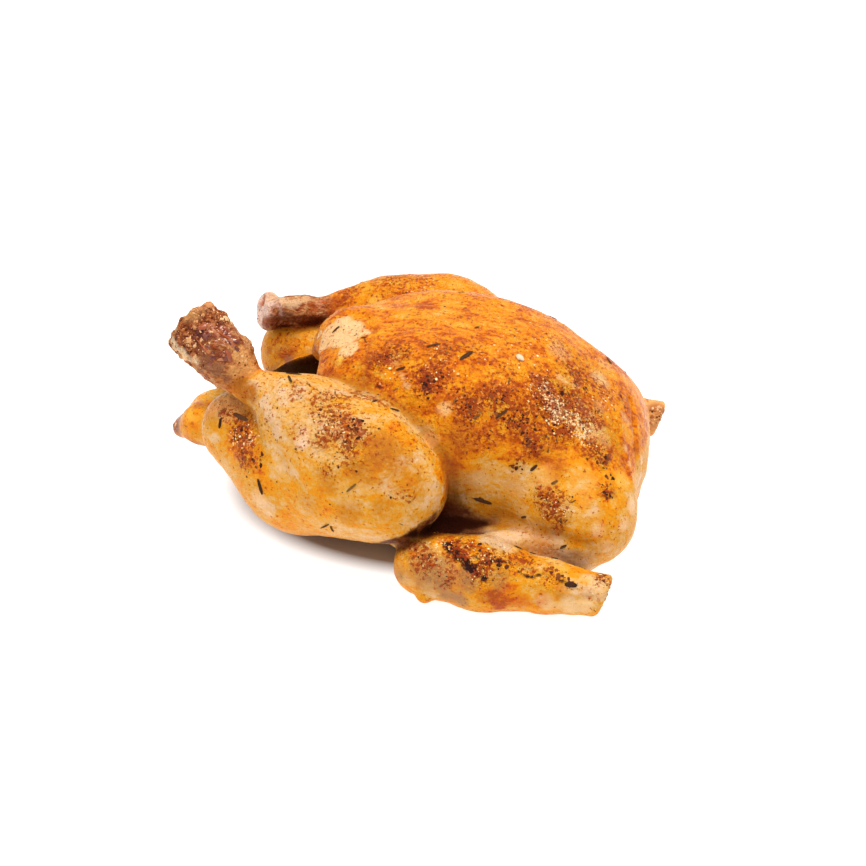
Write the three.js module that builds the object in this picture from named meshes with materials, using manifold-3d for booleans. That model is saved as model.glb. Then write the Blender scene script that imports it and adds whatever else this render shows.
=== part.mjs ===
// A whole roast chicken lying on its back, breast up, in millimetres.
// +X points to the neck end, -X to the tail, +Z up through the breast, and the bird's left side is -Y.
// The bird is one solid: torso, legs, wings and tail are distance fields that melt into each other,
// and one surface net is laid over them. The bare joint ends are finer nets joined on.
import * as THREE from "three";
import { mergeVertices } from "three/addons/utils/BufferGeometryUtils.js";
import Module from "manifold-3d";

const wasm = await Module();
wasm.setup();

// ---------------------------------------------------------------- driving dimensions

const SKIN_CELL = 6.4; // spacing of the net over the skin
const ENDS_CELL = 3.5; // spacing of the nets over the bare limb ends
const NET_BOX = { low: [-140, -115, -1.5 * SKIN_CELL], high: [130, 115, 126] };
const REACH = 26; // further than any limb end's radius
const RELAX_ROUNDS = 3; // how often the nets' points are evened out
const SEED = 41;

const BREAST = { at: [24, 22, 54], radii: [70, 38, 42], pitch: 7 };
const KEEL = { rear: [-30, 0, 76], front: [56, 0, 70], rearRadius: 17, frontRadius: 19 };
const BACK = { at: [4, 0, 32], radii: [101, 54, 38] };
const NECK_END = { at: [80, 0, 35], radii: [30, 58, 35] };
const SHOULDERS = { left: [91, -42, 26], right: [80, 42, 27], radius: 23 };
const NECK_SKIN = { side: [89, 24, 12], middle: [97, 0, 17], radius: 11 }; // tucked under in a roll
const FLANK = { at: [32, 50, 13], radii: [36, 20, 12] }; // closes the gap between wing, thigh and back

// A leg's shank lists the radii of its bare end: at the skin's edge, at the ankle and at the tip.
const LEFT_LEG = {
  rump: [-69, -46, 47],
  hip: [-36, -53, 38],
  knee: [5, -66, 44],
  neck: [-61, -53, 75],
  ankle: [-73, -51, 86],
  tip: [-85, -48, 95],
  shank: [6.5, 11.5, 12.5],
};
const RIGHT_LEG = {
  rump: [-76, 46, 45],
  hip: [-34, 54, 38],
  knee: [6, 65, 54],
  neck: [-53, 49, 71],
  ankle: [-72, 43, 70],
  tip: [-84, 38, 70],
  shank: [6.3, 6.5, 7.5],
};
const ANKLE_CUT = { beyond: 9, roughness: 2 }; // the left foot is off just past the ankle
const KNUCKLE = { ring: 6.2, lip: 3.6, facing: [-0.75, -0.62, 0.22] }; // of the right shank, bare and hollow

const LEFT_WING = { shoulder: [86, -54, 15], elbow: [28, -80, 13], wrist: [101, -81, 11.5] };
const RIGHT_WING = { shoulder: [82, 54, 15], elbow: [26, 83, 13], wrist: [97, 87, 12] };
const WRIST = { radius: 9.5, beyond: 8, slant: 0.3 }; // each wing tip is cut off
const ELBOW_NUB = { at: [31, -91, 4], radius: 3.5 };

const TAIL = { root: [-88, 10, 30], middle: [-107, 6, 26], tip: [-121, 1.5, 19] };
const CAVITY = { mouth: [-100, 0, 60], throat: [-58, 0, 47], end: [8, 0, 43], radii: [24, 20, 26] };
const UNEVENNESS = { height: 0.8, size: 24 }; // of the whole skin

// Dried herb flakes that lie on the skin, each from one place to another.
const FLAKE = { shortest: 3.6, width: 1.7, height: 1.1 };
const FLAKES = [
  [[-67, -60, 64], [-61, -65, 66]],
  [[-73, -60, 60], [-73, -62, 57]],
  [[-48, -82, 44], [-46, -83, 39]],
  [[-16, -86, 30], [-12, -89, 34]],
  [[-11, -88, 33], [-11, -87, 29]],
  [[-35, -14, 88], [-33, -12, 90]],
  [[-18, -23, 91], [-16, -24, 92]],
  [[5, -44, 88], [8, -43, 89]],
  [[31, -8, 95], [32, -6, 95]],
  [[45, -57, 36], [51, -56, 34]],
  [[79, -57, 49], [81, -56, 50]],
  [[65, -62, 31], [67, -62, 32]],
  [[86, -69, 24], [88, -68, 25]],
  [[84, -76, 23], [86, -74, 22]],
  [[67, -73, 25], [70, -73, 25]],
  [[74, -73, 24], [76, -74, 23]],
  [[7, -60, 76], [10, -58, 76]],
  [[-1, -61, 79], [0, -58, 79]],
  [[-43, -53, 84], [-37, -54, 84]],
  [[-41, -57, 84], [-38, -62, 84]],
  [[32, -35, 93], [35, -30, 94]],
  [[93, -88, 19], [97, -87, 19]],
  [[16, -32, 95], [20, -29, 95]],
  [[52, -50, 74], [55, -47, 76]],
  [[69, -55, 53], [71, -54, 55]],
  [[-2, -93, 53], [1, -92, 56]],
  [[55, 42, 84], [59, 40, 84]],
  [[15, 47, 88], [18, 49, 88]],
  [[-35, 64, 76], [-31, 66, 76]],
  [[85, 27, 70], [88, 24, 70]],
  [[35, 94, 26], [40, 95, 25]],
  [[75, 95, 22], [79, 94, 22]],
  [[-60, 62, 50], [-56, 66, 48]],
  [[-100, 6, 40], [-96, 8, 42]],
];

// ---------------------------------------------------------------- small vector helpers

const CORNERS = [0, 1, 2, 3, 4, 5, 6, 7].map((i) => [i & 1, (i >> 1) & 1, (i >> 2) & 1]);

const add = (a, b) => a.map((value, i) => value + b[i]);
const sub = (a, b) => a.map((value, i) => value - b[i]);
const mirror = ([x, y, z], side) => [x, y * side, z];
const scale = (a, factor) => a.map((value) => value * factor);
const lerp = (a, b, t) => a.map((value, i) => value + (b[i] - value) * t);
const dot = (a, b) => a[0] * b[0] + a[1] * b[1] + a[2] * b[2];
const length = (a) => Math.hypot(...a);
const unit = (a) => scale(a, 1 / length(a));

// ---------------------------------------------------------------- distance fields, negative inside

// An ellipsoid whose front is tipped down by pitch degrees.
function ellipsoid([cx, cy, cz], [rx, ry, rz], pitch = 0) {
  const cos = Math.cos((pitch * Math.PI) / 180);
  const sin = Math.sin((pitch * Math.PI) / 180);
  return (x, y, z) => {
    const px = ((x - cx) * cos - (z - cz) * sin) / rx;
    const py = (y - cy) / ry;
    const pz = ((x - cx) * sin + (z - cz) * cos) / rz;
    const reach = Math.hypot(px, py, pz);
    const slope = Math.hypot(px / rx, py / ry, pz / rz);
    return slope < 1e-9 ? -Math.min(rx, ry, rz) : (reach * (reach - 1)) / slope;
  };
}

const ball = ([cx, cy, cz], radius) => (x, y, z) => Math.hypot(x - cx, y - cy, z - cz) - radius;

// A cone with two round ends, from a ball of radius ra at a to a ball of radius rb at b.
function roundCone(a, b, ra, rb) {
  const axis = sub(b, a);
  const l2 = dot(axis, axis);
  const rr = ra - rb;
  const a2 = l2 - rr * rr;
  return (x, y, z) => {
    const p = [x - a[0], y - a[1], z - a[2]];
    const along = dot(p, axis);
    const beyond = along - l2;
    const off = sub(scale(p, l2), scale(axis, along));
    const x2 = dot(off, off);
    const y2 = along * along * l2;
    const z2 = beyond * beyond * l2;
    const k = Math.sign(rr) * rr * rr * x2;
    if (Math.sign(beyond) * a2 * z2 > k) return Math.sqrt(x2 + z2) / l2 - rb;
    if (Math.sign(along) * a2 * y2 < k) return Math.sqrt(x2 + y2) / l2 - ra;
    return (Math.sqrt((x2 * a2) / l2) + along * rr) / l2 - ra;
  };
}

// Fields melt together where they are closer than the blend.
function melt(blend, ...fields) {
  return (x, y, z) => {
    let near = fields[0](x, y, z);
    for (let i = 1; i < fields.length; i++) {
      const other = fields[i](x, y, z);
      const h = Math.max(blend - Math.abs(near - other), 0) / blend;
      near = Math.min(near, other) - (h * h * blend) / 4;
    }
    return near;
  };
}

function carve(blend, solid, hollow) {
  return (x, y, z) => {
    const a = solid(x, y, z);
    const b = -hollow(x, y, z);
    const h = Math.max(blend - Math.abs(a - b), 0) / blend;
    return Math.max(a, b) + (h * h * blend) / 4;
  };
}

// A solid cut by a plane through a point, with the edge rounded by the blend.
const cutOff = (blend, solid, at, facing) =>
  carve(blend, solid, (x, y, z) => -dot(sub([x, y, z], at), facing));

// A ring about an axis.
const ring = (at, axis, radius, thickness) => (x, y, z) => {
  const p = sub([x, y, z], at);
  const along = dot(p, axis);
  const out = Math.sqrt(Math.max(dot(p, p) - along * along, 0));
  return Math.hypot(out - radius, along) - thickness;
};

// A smooth random value from -1 to 1 that changes over about one unit of length.
function noise(x, y, z) {
  const cell = [x, y, z].map(Math.floor);
  const fade = [x, y, z].map((value, i) => value - cell[i]).map((t) => t * t * (3 - 2 * t));
  let sum = 0;
  for (const corner of CORNERS) {
    const weight = corner.reduce((w, c, i) => w * (c ? fade[i] : 1 - fade[i]), 1);
    sum += weight * randomAt(add(cell, corner));
  }
  return sum;
}

function randomAt([i, j, k]) {
  const wave = Math.sin(i * 127.1 + j * 311.7 + k * 74.7 + SEED) * 43758.5453;
  return 2 * (wave - Math.floor(wave)) - 1;
}

// The direction and steepness in which a field grows.
function slopeAt(field, [x, y, z]) {
  const step = 0.05;
  const here = field(x, y, z);
  const ahead = [field(x + step, y, z), field(x, y + step, z), field(x, y, z + step)];
  return ahead.map((value) => (value - here) / step);
}

// A surface roughened by lumps of a given height and size.
const craggy = (solid, height, size) => (x, y, z) =>
  solid(x, y, z) + height * noise(x / size, y / size, z / size);

// ---------------------------------------------------------------- the bird

// A limb along its joints. Each station is its place and its radius.
function limb(stations, blend = 4) {
  const cones = stations.slice(1).map(([to, radius], i) => {
    const [from, fromRadius] = stations[i];
    return roundCone(from, to, fromRadius, radius);
  });
  return melt(blend, ...cones);
}

function torso() {
  const [x, y, z] = BREAST.at;
  const lobes = [-y, y].map((side) => ellipsoid([x, side, z], BREAST.radii, BREAST.pitch));
  const keel = roundCone(KEEL.rear, KEEL.front, KEEL.rearRadius, KEEL.frontRadius);
  const back = ellipsoid(BACK.at, BACK.radii);
  const neckEnd = ellipsoid(NECK_END.at, NECK_END.radii);
  const shoulders = [SHOULDERS.left, SHOULDERS.right].map((at) => ball(at, SHOULDERS.radius));
  const [fx, fy, fz] = FLANK.at;
  const flanks = [-fy, fy].map((side) => ellipsoid([fx, side, fz], FLANK.radii));
  const body = melt(16, back, ...lobes, keel, neckEnd, ...shoulders, ...flanks);
  const [nx, ny, nz] = NECK_SKIN.side;
  const roll = limb([
    [[nx, -ny, nz], NECK_SKIN.radius],
    [NECK_SKIN.middle, NECK_SKIN.radius],
    [[nx, ny, nz], NECK_SKIN.radius],
  ]);
  return melt(4, body, roll);
}

function thigh({ rump, hip, knee }) {
  return limb([
    [rump, 19],
    [hip, 29],
    [knee, 22],
  ], 10);
}

function drumstick({ knee, neck }) {
  return limb([
    [lerp(knee, neck, -0.05), 23],
    [lerp(knee, neck, 0.2), 28],
    [lerp(knee, neck, 0.55), 22],
    [lerp(knee, neck, 0.85), 11],
    [neck, 7.5],
  ], 8);
}

// The bare end of a shank, from inside the skin's edge to past the ankle joint.
function bareShank({ knee, neck, ankle, tip, shank }) {
  return limb([
    [lerp(neck, knee, 0.15), shank[0]],
    [neck, shank[0]],
    [ankle, shank[1]],
    [tip, shank[2]],
  ], 6);
}

// The left shank ends in a rough block where the foot was taken off.
function leftShankEnd() {
  const axis = unit(sub(LEFT_LEG.tip, LEFT_LEG.ankle));
  const beyond = add(LEFT_LEG.tip, scale(axis, ANKLE_CUT.beyond));
  const stump = limb([
    [LEFT_LEG.tip, LEFT_LEG.shank[2]],
    [beyond, LEFT_LEG.shank[2]],
  ]);
  const block = cutOff(4, melt(5, bareShank(LEFT_LEG), stump), beyond, axis);
  return craggy(block, ANKLE_CUT.roughness, 7);
}

// The right shank ends in a round knuckle with a raised ring about a hollow.
function rightShankEnd() {
  const facing = unit(KNUCKLE.facing);
  const ringAt = add(RIGHT_LEG.tip, scale(facing, KNUCKLE.lip));
  const knuckle = melt(3, bareShank(RIGHT_LEG), ring(ringAt, facing, KNUCKLE.ring, KNUCKLE.lip));
  return craggy(knuckle, 0.6, 6);
}

function upperWing({ shoulder, elbow }) {
  return limb([
    [shoulder, 14],
    [lerp(shoulder, elbow, 0.5), 12],
    [elbow, 11],
  ]);
}

function forearm({ elbow, wrist }) {
  return limb([
    [elbow, 14],
    [lerp(elbow, wrist, 0.35), 16],
    [lerp(elbow, wrist, 0.75), 11.5],
    [lerp(elbow, wrist, 0.9), 10.5],
  ]);
}

// The end of the forearm, cut off square at the wrist joint.
function wristEnd({ elbow, wrist }) {
  const axis = unit(sub(wrist, elbow));
  const beyond = add(wrist, scale(axis, WRIST.beyond));
  const stump = limb([
    [lerp(elbow, wrist, 0.8), WRIST.radius],
    [beyond, WRIST.radius],
  ]);
  return craggy(cutOff(3, stump, beyond, unit(add(axis, [0, 0, -WRIST.slant]))), 0.8, 6);
}

// The tail is a wedge, plump on both sides of a middle line.
function tail() {
  const sides = [-1, 1].map((side) =>
    limb([
      [mirror(TAIL.root, side), 15],
      [mirror(TAIL.middle, side), 10],
      [mirror(TAIL.tip, side), 4],
    ]),
  );
  return melt(6, ...sides);
}

// The body cavity, open between the tail and the rear tip of the breast.
function cavity() {
  const hollow = limb([
    [CAVITY.mouth, CAVITY.radii[0]],
    [CAVITY.throat, CAVITY.radii[1]],
    [CAVITY.end, CAVITY.radii[2]],
  ], 8);
  return craggy(hollow, 2, 16);
}

const underFloor = (solid) => (x, y, z) => Math.max(solid(x, y, z), -z);

const trunk = melt(14, torso(), thigh(LEFT_LEG), thigh(RIGHT_LEG), tail());
const hollowTrunk = carve(6, trunk, cavity());
const bird = melt(
  6,
  melt(
    9,
    melt(12, hollowTrunk, upperWing(LEFT_WING), upperWing(RIGHT_WING)),
    drumstick(LEFT_LEG),
    drumstick(RIGHT_LEG),
  ),
  forearm(LEFT_WING),
  forearm(RIGHT_WING),
  ball(ELBOW_NUB.at, ELBOW_NUB.radius),
);

// ---------------------------------------------------------------- surface net

const EDGES = CORNERS.flatMap((c, i) =>
  [1, 2, 4].filter((step) => !(i & step)).map((step) => [i, i + step]),
);

// One closed net over the zero surface of a field, inside a box from low to high.
function surfaceNet(field, low, high, cell) {
  const count = sub(high, low).map((span) => Math.ceil(span / cell) + 1);
  const [nx, ny, nz] = count;
  const index = (i, j, k) => i + nx * (j + ny * k);
  const at = (i, j, k) => [low[0] + i * cell, low[1] + j * cell, low[2] + k * cell];
  const value = new Float64Array(nx * ny * nz);
  for (let k = 0; k < nz; k++)
    for (let j = 0; j < ny; j++)
      for (let i = 0; i < nx; i++) value[index(i, j, k)] = field(...at(i, j, k)) || 1e-6;

  fillPinches(value, count);

  const vertexOf = new Int32Array(value.length).fill(-1);
  const vertices = [];
  for (let k = 0; k < nz - 1; k++)
    for (let j = 0; j < ny - 1; j++)
      for (let i = 0; i < nx - 1; i++) {
        const corner = CORNERS.map(([a, b, c]) => value[index(i + a, j + b, k + c)]);
        const crossings = EDGES.filter(([a, b]) => corner[a] < 0 !== corner[b] < 0).map(([a, b]) =>
          lerp(CORNERS[a], CORNERS[b], corner[a] / (corner[a] - corner[b])),
        );
        if (!crossings.length) continue;
        const mean = scale(crossings.reduce(add), 1 / crossings.length);
        vertexOf[index(i, j, k)] = vertices.length;
        vertices.push(add(at(i, j, k), scale(mean, cell)));
      }

  const triangles = [];
  const quad = (a, b, c, d, flip) => {
    const [p, q, r, s] = flip ? [a, d, c, b] : [a, b, c, d];
    const span = (m, n) => length(sub(vertices[m], vertices[n]));
    if (span(p, r) < span(q, s)) triangles.push([p, q, r], [p, r, s]);
    else triangles.push([q, r, s], [q, s, p]);
  };
  for (let k = 1; k < nz - 1; k++)
    for (let j = 1; j < ny - 1; j++)
      for (let i = 1; i < nx - 1; i++) {
        const here = value[index(i, j, k)] < 0;
        const cellAt = (a, b, c) => vertexOf[index(i - a, j - b, k - c)];
        if (here !== value[index(i + 1, j, k)] < 0)
          quad(cellAt(0, 1, 1), cellAt(0, 0, 1), cellAt(0, 0, 0), cellAt(0, 1, 0), !here);
        if (here !== value[index(i, j + 1, k)] < 0)
          quad(cellAt(1, 0, 1), cellAt(1, 0, 0), cellAt(0, 0, 0), cellAt(0, 0, 1), !here);
        if (here !== value[index(i, j, k + 1)] < 0)
          quad(cellAt(1, 1, 0), cellAt(0, 1, 0), cellAt(0, 0, 0), cellAt(1, 0, 0), !here);
      }
  return { vertices: relax(field, vertices, triangles, cell), triangles };
}

// Where only two opposite corners of a cell's face are inside, the net would pinch. One more is filled in.
function fillPinches(value, [nx, ny, nz]) {
  const steps = [1, nx, nx * ny];
  for (let again = true; again; ) {
    again = false;
    for (const [u, v] of [
      [steps[0], steps[1]],
      [steps[1], steps[2]],
      [steps[0], steps[2]],
    ])
      for (let n = 0; n + u + v < value.length; n++) {
        const inside = [n, n + u, n + u + v, n + v].map((m) => value[m] < 0);
        if (inside[0] !== inside[2] || inside[1] !== inside[3] || inside[0] === inside[1]) continue;
        const [a, b] = inside[0] ? [n + u, n + v] : [n, n + u + v];
        value[value[a] < value[b] ? a : b] = -1e-3;
        again = true;
      }
  }
}

// Each point moves towards the middle of its neighbours, then back onto the surface, a few times over.
function relax(field, vertices, triangles, cell) {
  const neighbours = vertices.map(() => new Set());
  for (const [a, b, c] of triangles)
    for (const [m, n] of [
      [a, b],
      [b, c],
      [c, a],
    ]) {
      neighbours[m].add(n);
      neighbours[n].add(m);
    }
  let points = vertices.map((point) => settle(field, point, cell));
  for (let round = 0; round < RELAX_ROUNDS; round++)
    points = points.map((point, i) => {
      const around = [...neighbours[i]].map((n) => points[n]);
      const middle = scale(around.reduce(add), 1 / around.length);
      const moved = settle(field, lerp(point, middle, 0.5), cell);
      return point[2] === 0 ? [moved[0], moved[1], 0] : moved;
    });
  return points;
}

// A point moves along the field's slope onto the surface. One that ends up by the floor lies flat on it.
function settle(field, point, cell) {
  let at = point;
  for (let step = 0; step < 2; step++) {
    const move = Math.max(-cell / 2, Math.min(cell / 2, -field(...at)));
    at = add(at, scale(slopeAt(field, at), move));
  }
  return at[2] < 0.3 ? [at[0], at[1], 0] : at;
}

function manifoldOf({ vertices, triangles }) {
  return new wasm.Manifold(
    new wasm.Mesh({
      numProp: 3,
      vertProperties: new Float32Array(vertices.flat()),
      triVerts: new Uint32Array(triangles.flat()),
    }),
  );
}

function geometryOf(solid) {
  const { vertProperties, triVerts } = solid.getMesh();
  const geometry = new THREE.BufferGeometry()
    .setAttribute("position", new THREE.BufferAttribute(new Float32Array(vertProperties), 3))
    .setIndex(new THREE.BufferAttribute(new Uint32Array(triVerts), 1));
  geometry.computeVertexNormals();
  return geometry;
}

// Thin flakes laid flat on the skin, each pointed at both ends and half sunk.
function herbFlakes(field) {
  return FLAKES.map(([from, to]) => {
    const place = settle(field, lerp(from, to, 0.5), SKIN_CELL);
    const facing = new THREE.Vector3(...slopeAt(field, place)).normalize();
    const across = facing.clone().cross(new THREE.Vector3(...sub(to, from))).normalize();
    const along = across.clone().cross(facing);
    const flake = new THREE.OctahedronGeometry(1, 0);
    const long = Math.max(length(sub(to, from)), FLAKE.shortest);
    flake.scale(long / 2, FLAKE.width / 2, FLAKE.height);
    flake.applyMatrix4(new THREE.Matrix4().makeBasis(along, across, facing));
    return solidOf(flake.translate(...place));
  });
}

// A three.js geometry as a solid, with its corners merged.
function solidOf(geometry) {
  geometry.deleteAttribute("normal");
  geometry.deleteAttribute("uv");
  const merged = mergeVertices(geometry);
  const { array } = merged.attributes.position;
  return new wasm.Manifold(
    new wasm.Mesh({
      numProp: 3,
      vertProperties: new Float32Array(array),
      triVerts: new Uint32Array(merged.index.array),
    }),
  );
}

// A net over a limb's end, in a box about two of its points.
function endNet(field, from, to) {
  const low = from.map((value, i) => Math.min(value, to[i]) - REACH);
  const high = from.map((value, i) => Math.max(value, to[i]) + REACH);
  return manifoldOf(surfaceNet(field, low, high, ENDS_CELL));
}

function roastChicken() {
  const skin = craggy(bird, UNEVENNESS.height, UNEVENNESS.size);
  const ends = [
    endNet(leftShankEnd(), LEFT_LEG.neck, LEFT_LEG.tip),
    endNet(rightShankEnd(), RIGHT_LEG.neck, RIGHT_LEG.tip),
    endNet(underFloor(wristEnd(LEFT_WING)), LEFT_WING.elbow, LEFT_WING.wrist),
    endNet(underFloor(wristEnd(RIGHT_WING)), RIGHT_WING.elbow, RIGHT_WING.wrist),
  ];
  const net = surfaceNet(underFloor(skin), NET_BOX.low, NET_BOX.high, SKIN_CELL);
  const added = [...ends, ...herbFlakes(underFloor(skin))];
  return added.reduce((whole, piece) => whole.add(piece), manifoldOf(net));
}

// The origin is under the middle of the bird's box.
function centred(solid) {
  const geometry = geometryOf(solid);
  geometry.computeBoundingBox();
  const middle = geometry.boundingBox.getCenter(new THREE.Vector3());
  return geometry.translate(-middle.x, -middle.y, 0);
}

const chicken = new THREE.Mesh(
  centred(roastChicken()),
  new THREE.MeshStandardMaterial({ color: 0xd9923a, roughness: 0.45, metalness: 0 }),
);
chicken.name = "roast_chicken";

const group = new THREE.Group();
group.add(chicken);

export default group;
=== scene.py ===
# %% [markdown]
# # A roast chicken
# The bird lies on its back with the breast up. In the frame, +X points to the neck end, the bird's left
# side is at -Y, and the floor is at Z = 0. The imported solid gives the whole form. This lesson lays a finer
# skin over it, browns it with painted masks, and strews it with herbs, pepper and spice.

# %% Load the frame
import math

import bpy
import numpy as np
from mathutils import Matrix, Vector, bvhtree, noise


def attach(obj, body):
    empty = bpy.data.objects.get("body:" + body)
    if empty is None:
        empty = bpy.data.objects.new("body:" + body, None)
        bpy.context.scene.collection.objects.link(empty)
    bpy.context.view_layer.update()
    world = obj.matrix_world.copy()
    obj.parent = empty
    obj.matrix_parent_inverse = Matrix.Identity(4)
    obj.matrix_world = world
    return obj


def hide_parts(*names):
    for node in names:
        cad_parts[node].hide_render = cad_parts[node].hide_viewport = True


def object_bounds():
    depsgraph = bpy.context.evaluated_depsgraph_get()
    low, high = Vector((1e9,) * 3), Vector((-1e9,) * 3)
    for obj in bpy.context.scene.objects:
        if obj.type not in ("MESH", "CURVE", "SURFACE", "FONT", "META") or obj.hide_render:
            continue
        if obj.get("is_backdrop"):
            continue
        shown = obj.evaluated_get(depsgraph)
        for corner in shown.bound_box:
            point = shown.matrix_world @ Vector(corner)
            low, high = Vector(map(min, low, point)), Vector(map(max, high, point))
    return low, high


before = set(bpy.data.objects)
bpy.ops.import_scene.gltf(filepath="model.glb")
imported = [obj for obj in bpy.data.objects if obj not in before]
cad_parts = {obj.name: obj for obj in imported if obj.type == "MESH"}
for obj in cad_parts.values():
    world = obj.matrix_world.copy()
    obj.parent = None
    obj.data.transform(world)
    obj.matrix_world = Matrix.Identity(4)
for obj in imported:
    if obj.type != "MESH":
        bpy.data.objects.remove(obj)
cad_low, cad_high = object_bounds()
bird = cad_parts["roast_chicken"]
MM = 0.001
print("solid", [round(value / MM) for value in cad_high - cad_low], "mm")

# %% [markdown]
# ## Materials from nodes
# Cooked skin needs many thin layers of colour, so its material is a tree of nodes. Each function here adds
# one kind of node to the material begun last, and gives its output, so that a material reads as a recipe.

# %% Node helpers
def new_material(name):
    """Begins a material, to which the functions below add."""
    global tree, shader
    material = bpy.data.materials.new(name)
    material.use_nodes = True
    tree = material.node_tree
    shader = tree.nodes["Principled BSDF"]
    return material


def feed(socket, value):
    """Gives a socket a number or a colour, or another node's output."""
    if isinstance(value, tuple):
        socket.default_value = (*value, 1)[:len(socket.default_value)]
    elif isinstance(value, (int, float)):
        socket.default_value = value
    else:
        tree.links.new(value, socket)


def give(made, **inputs):
    """Gives a node its named inputs. In a name an underscore stands for a space."""
    for name, value in inputs.items():
        feed(made.inputs[name.replace("_", " ")], value)


def node(kind, **settings):
    """Adds a node. Its inputs have capitals and its own settings don't."""
    made = tree.nodes.new("ShaderNode" + kind)
    for name, value in settings.items():
        if name[0].isupper():
            give(made, **{name: value})
        else:
            setattr(made, name, value)
    return made


def mask_of(name):
    return node("Attribute", attribute_name=name).outputs["Fac"]


def maths(operation, *values, clamp=False):
    made = node("Math", operation=operation, use_clamp=clamp)
    for socket, value in zip(made.inputs, values):
        feed(socket, value)
    return made.outputs[0]


def times(first, second):
    return maths("MULTIPLY", first, second)


def total(*values):
    value, *others = values
    for other in others:
        value = maths("ADD", value, other)
    return value


def centred(value, gain):
    """Noise moved to lie about zero, with a gain."""
    return maths("MULTIPLY_ADD", value, gain, -0.5 * gain)


def mix(factor, first, second):
    made = node("Mix", data_type="RGBA")
    for number, value in ((0, factor), (6, first), (7, second)):
        feed(made.inputs[number], value)
    return made.outputs[2]


def ramp(value, stops):
    made = node("ValToRGB", Fac=value)
    elements = made.color_ramp.elements
    while len(elements) < len(stops):
        elements.new(0.5)
    for element, (position, colour) in zip(elements, stops):
        element.position = position
        element.color = (*colour, 1)
    return made.outputs[0]


def rise(value, low, high):
    """0 below low, 1 above high."""
    made = node("MapRange", interpolation_type="SMOOTHSTEP", From_Min=low, From_Max=high, Value=value)
    return made.outputs[0]


def noise_of(place, size, detail=2.0, distortion=0.0, roughness=0.5):
    """Noise with lumps of a size in millimetres."""
    scale = 1 / (size * MM)
    made = node("TexNoise", Scale=scale, Detail=detail, Roughness=roughness, Distortion=distortion)
    give(made, Vector=place)
    return made.outputs["Fac"]


def bump(height, strength, depth):
    """Relief in the material, with its depth in millimetres."""
    made = node("Bump", Strength=strength, Distance=depth * MM, Height=height)
    give(shader, Normal=made.outputs[0])


print("node helpers ready")

# %% [markdown]
# ## Camera, floor and light
# A roast is shown from a little above, with a long lens, on a white table. The camera stands 800 mm from
# the bird and looks down 28 degrees. A large softbox overhead and a dim white room give soft light, and the
# table glows a little beyond an oval about the bird, so that it stays white and only the oval takes the
# shadow. Three small lamps make the oily skin glint.

# %% Camera
AZIMUTH, ELEVATION = math.radians(16), math.radians(28)
TARGET = Vector((4.598, -2.095, 45)) * MM
DISTANCE, ASIDE, DOWN = 800, 8.55, 10.45
BACK = Vector((
    math.sin(AZIMUTH) * math.cos(ELEVATION), -math.cos(AZIMUTH) * math.cos(ELEVATION), math.sin(ELEVATION),
))
RIGHT = Vector((math.cos(AZIMUTH), math.sin(AZIMUTH), 0))
UP = BACK.cross(RIGHT)

spot = TARGET + BACK * DISTANCE * MM + RIGHT * ASIDE * MM - UP * DOWN * MM
bpy.ops.object.camera_add(location=spot, rotation=(-BACK).to_track_quat("-Z", "Y").to_euler())
camera = bpy.context.object
camera.data.lens = 70
camera.data.sensor_width = 36
bpy.context.scene.camera = camera
print("camera at", [round(value / MM) for value in spot], "mm")

# %% Floor
OVAL = (0.11, 0.082)  # half its length and width in metres

table = new_material("white_table")
around = node(
    "Mapping", Location=(-0.09, 0, 0), Scale=(1 / OVAL[0], 1 / OVAL[1], 1),
    Vector=node("TexCoord").outputs["Object"],
)
far_off = node("VectorMath", operation="LENGTH")
feed(far_off.inputs[0], around.outputs[0])
glow = node("MapRange", From_Min=0.79, From_Max=0.93, To_Max=0.9, Value=far_off.outputs["Value"])
give(shader, Base_Color=(0.40, 0.37, 0.35), Roughness=0.9, Emission_Color=(1, 1, 1))
give(shader, Emission_Strength=glow.outputs[0])
bpy.ops.object.select_all(action="DESELECT")
bpy.ops.mesh.primitive_plane_add(size=8)
floor = bpy.context.object
floor.name = "floor"
floor.data.materials.append(table)
floor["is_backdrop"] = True
print("floor", floor.name)

# %% Lights
LAMPS = [
    # direction, distance and width in metres, and watts
    ("overhead", (0.15, 0, 1), 2.5, 1.3, 62), ("fill", (-0.6, -0.75, 0.45), 2.6, 1.4, 12),
    ("glint_right", (0.62, 0.42, 0.6), 3.0, 0.12, 7), ("glint_back", (-0.1, 0.8, 0.6), 3.0, 0.12, 12),
    ("glint_left", (-0.5, -0.2, 0.8), 3.0, 0.12, 8),
]
for name, toward, distance, width, watts in LAMPS:
    toward = Vector(toward)
    turned = toward.to_track_quat("Z", "Y").to_euler()
    bpy.ops.object.light_add(type="AREA", location=TARGET + toward.normalized() * distance, rotation=turned)
    lamp = bpy.context.object
    lamp.name = name
    lamp.data.size = width
    lamp.data.energy = watts
room = bpy.context.scene.world or bpy.data.worlds.new("room")
bpy.context.scene.world = room
room.use_nodes = True
room.node_tree.nodes["Background"].inputs["Color"].default_value = (1, 1, 1, 1)
room.node_tree.nodes["Background"].inputs["Strength"].default_value = 0.5
bpy.context.scene.view_settings.view_transform = "Standard"
print(len(LAMPS), "lamps")

# %% [markdown]
# ## A first skin over the solid
# The solid has faces about six millimetres wide. A copy of it is merged, because its triangles are loose,
# and a voxel remesh then covers it with even quads. Smoothing takes the facets away without shrinking the
# form: each round moves the points towards their neighbours' middle, and then a little further back.

# %% Copy and merge
FIRST_CELL, SKIN_CELL = 2.3, 1.36  # the remeshes' quads in millimetres


def activate(obj):
    """Selects one object alone and makes it active."""
    bpy.ops.object.select_all(action="DESELECT")
    obj.select_set(True)
    bpy.context.view_layer.objects.active = obj


def apply_modifiers(obj):
    activate(obj)
    for modifier in list(obj.modifiers):
        bpy.ops.object.modifier_apply(modifier=modifier.name)


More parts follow.
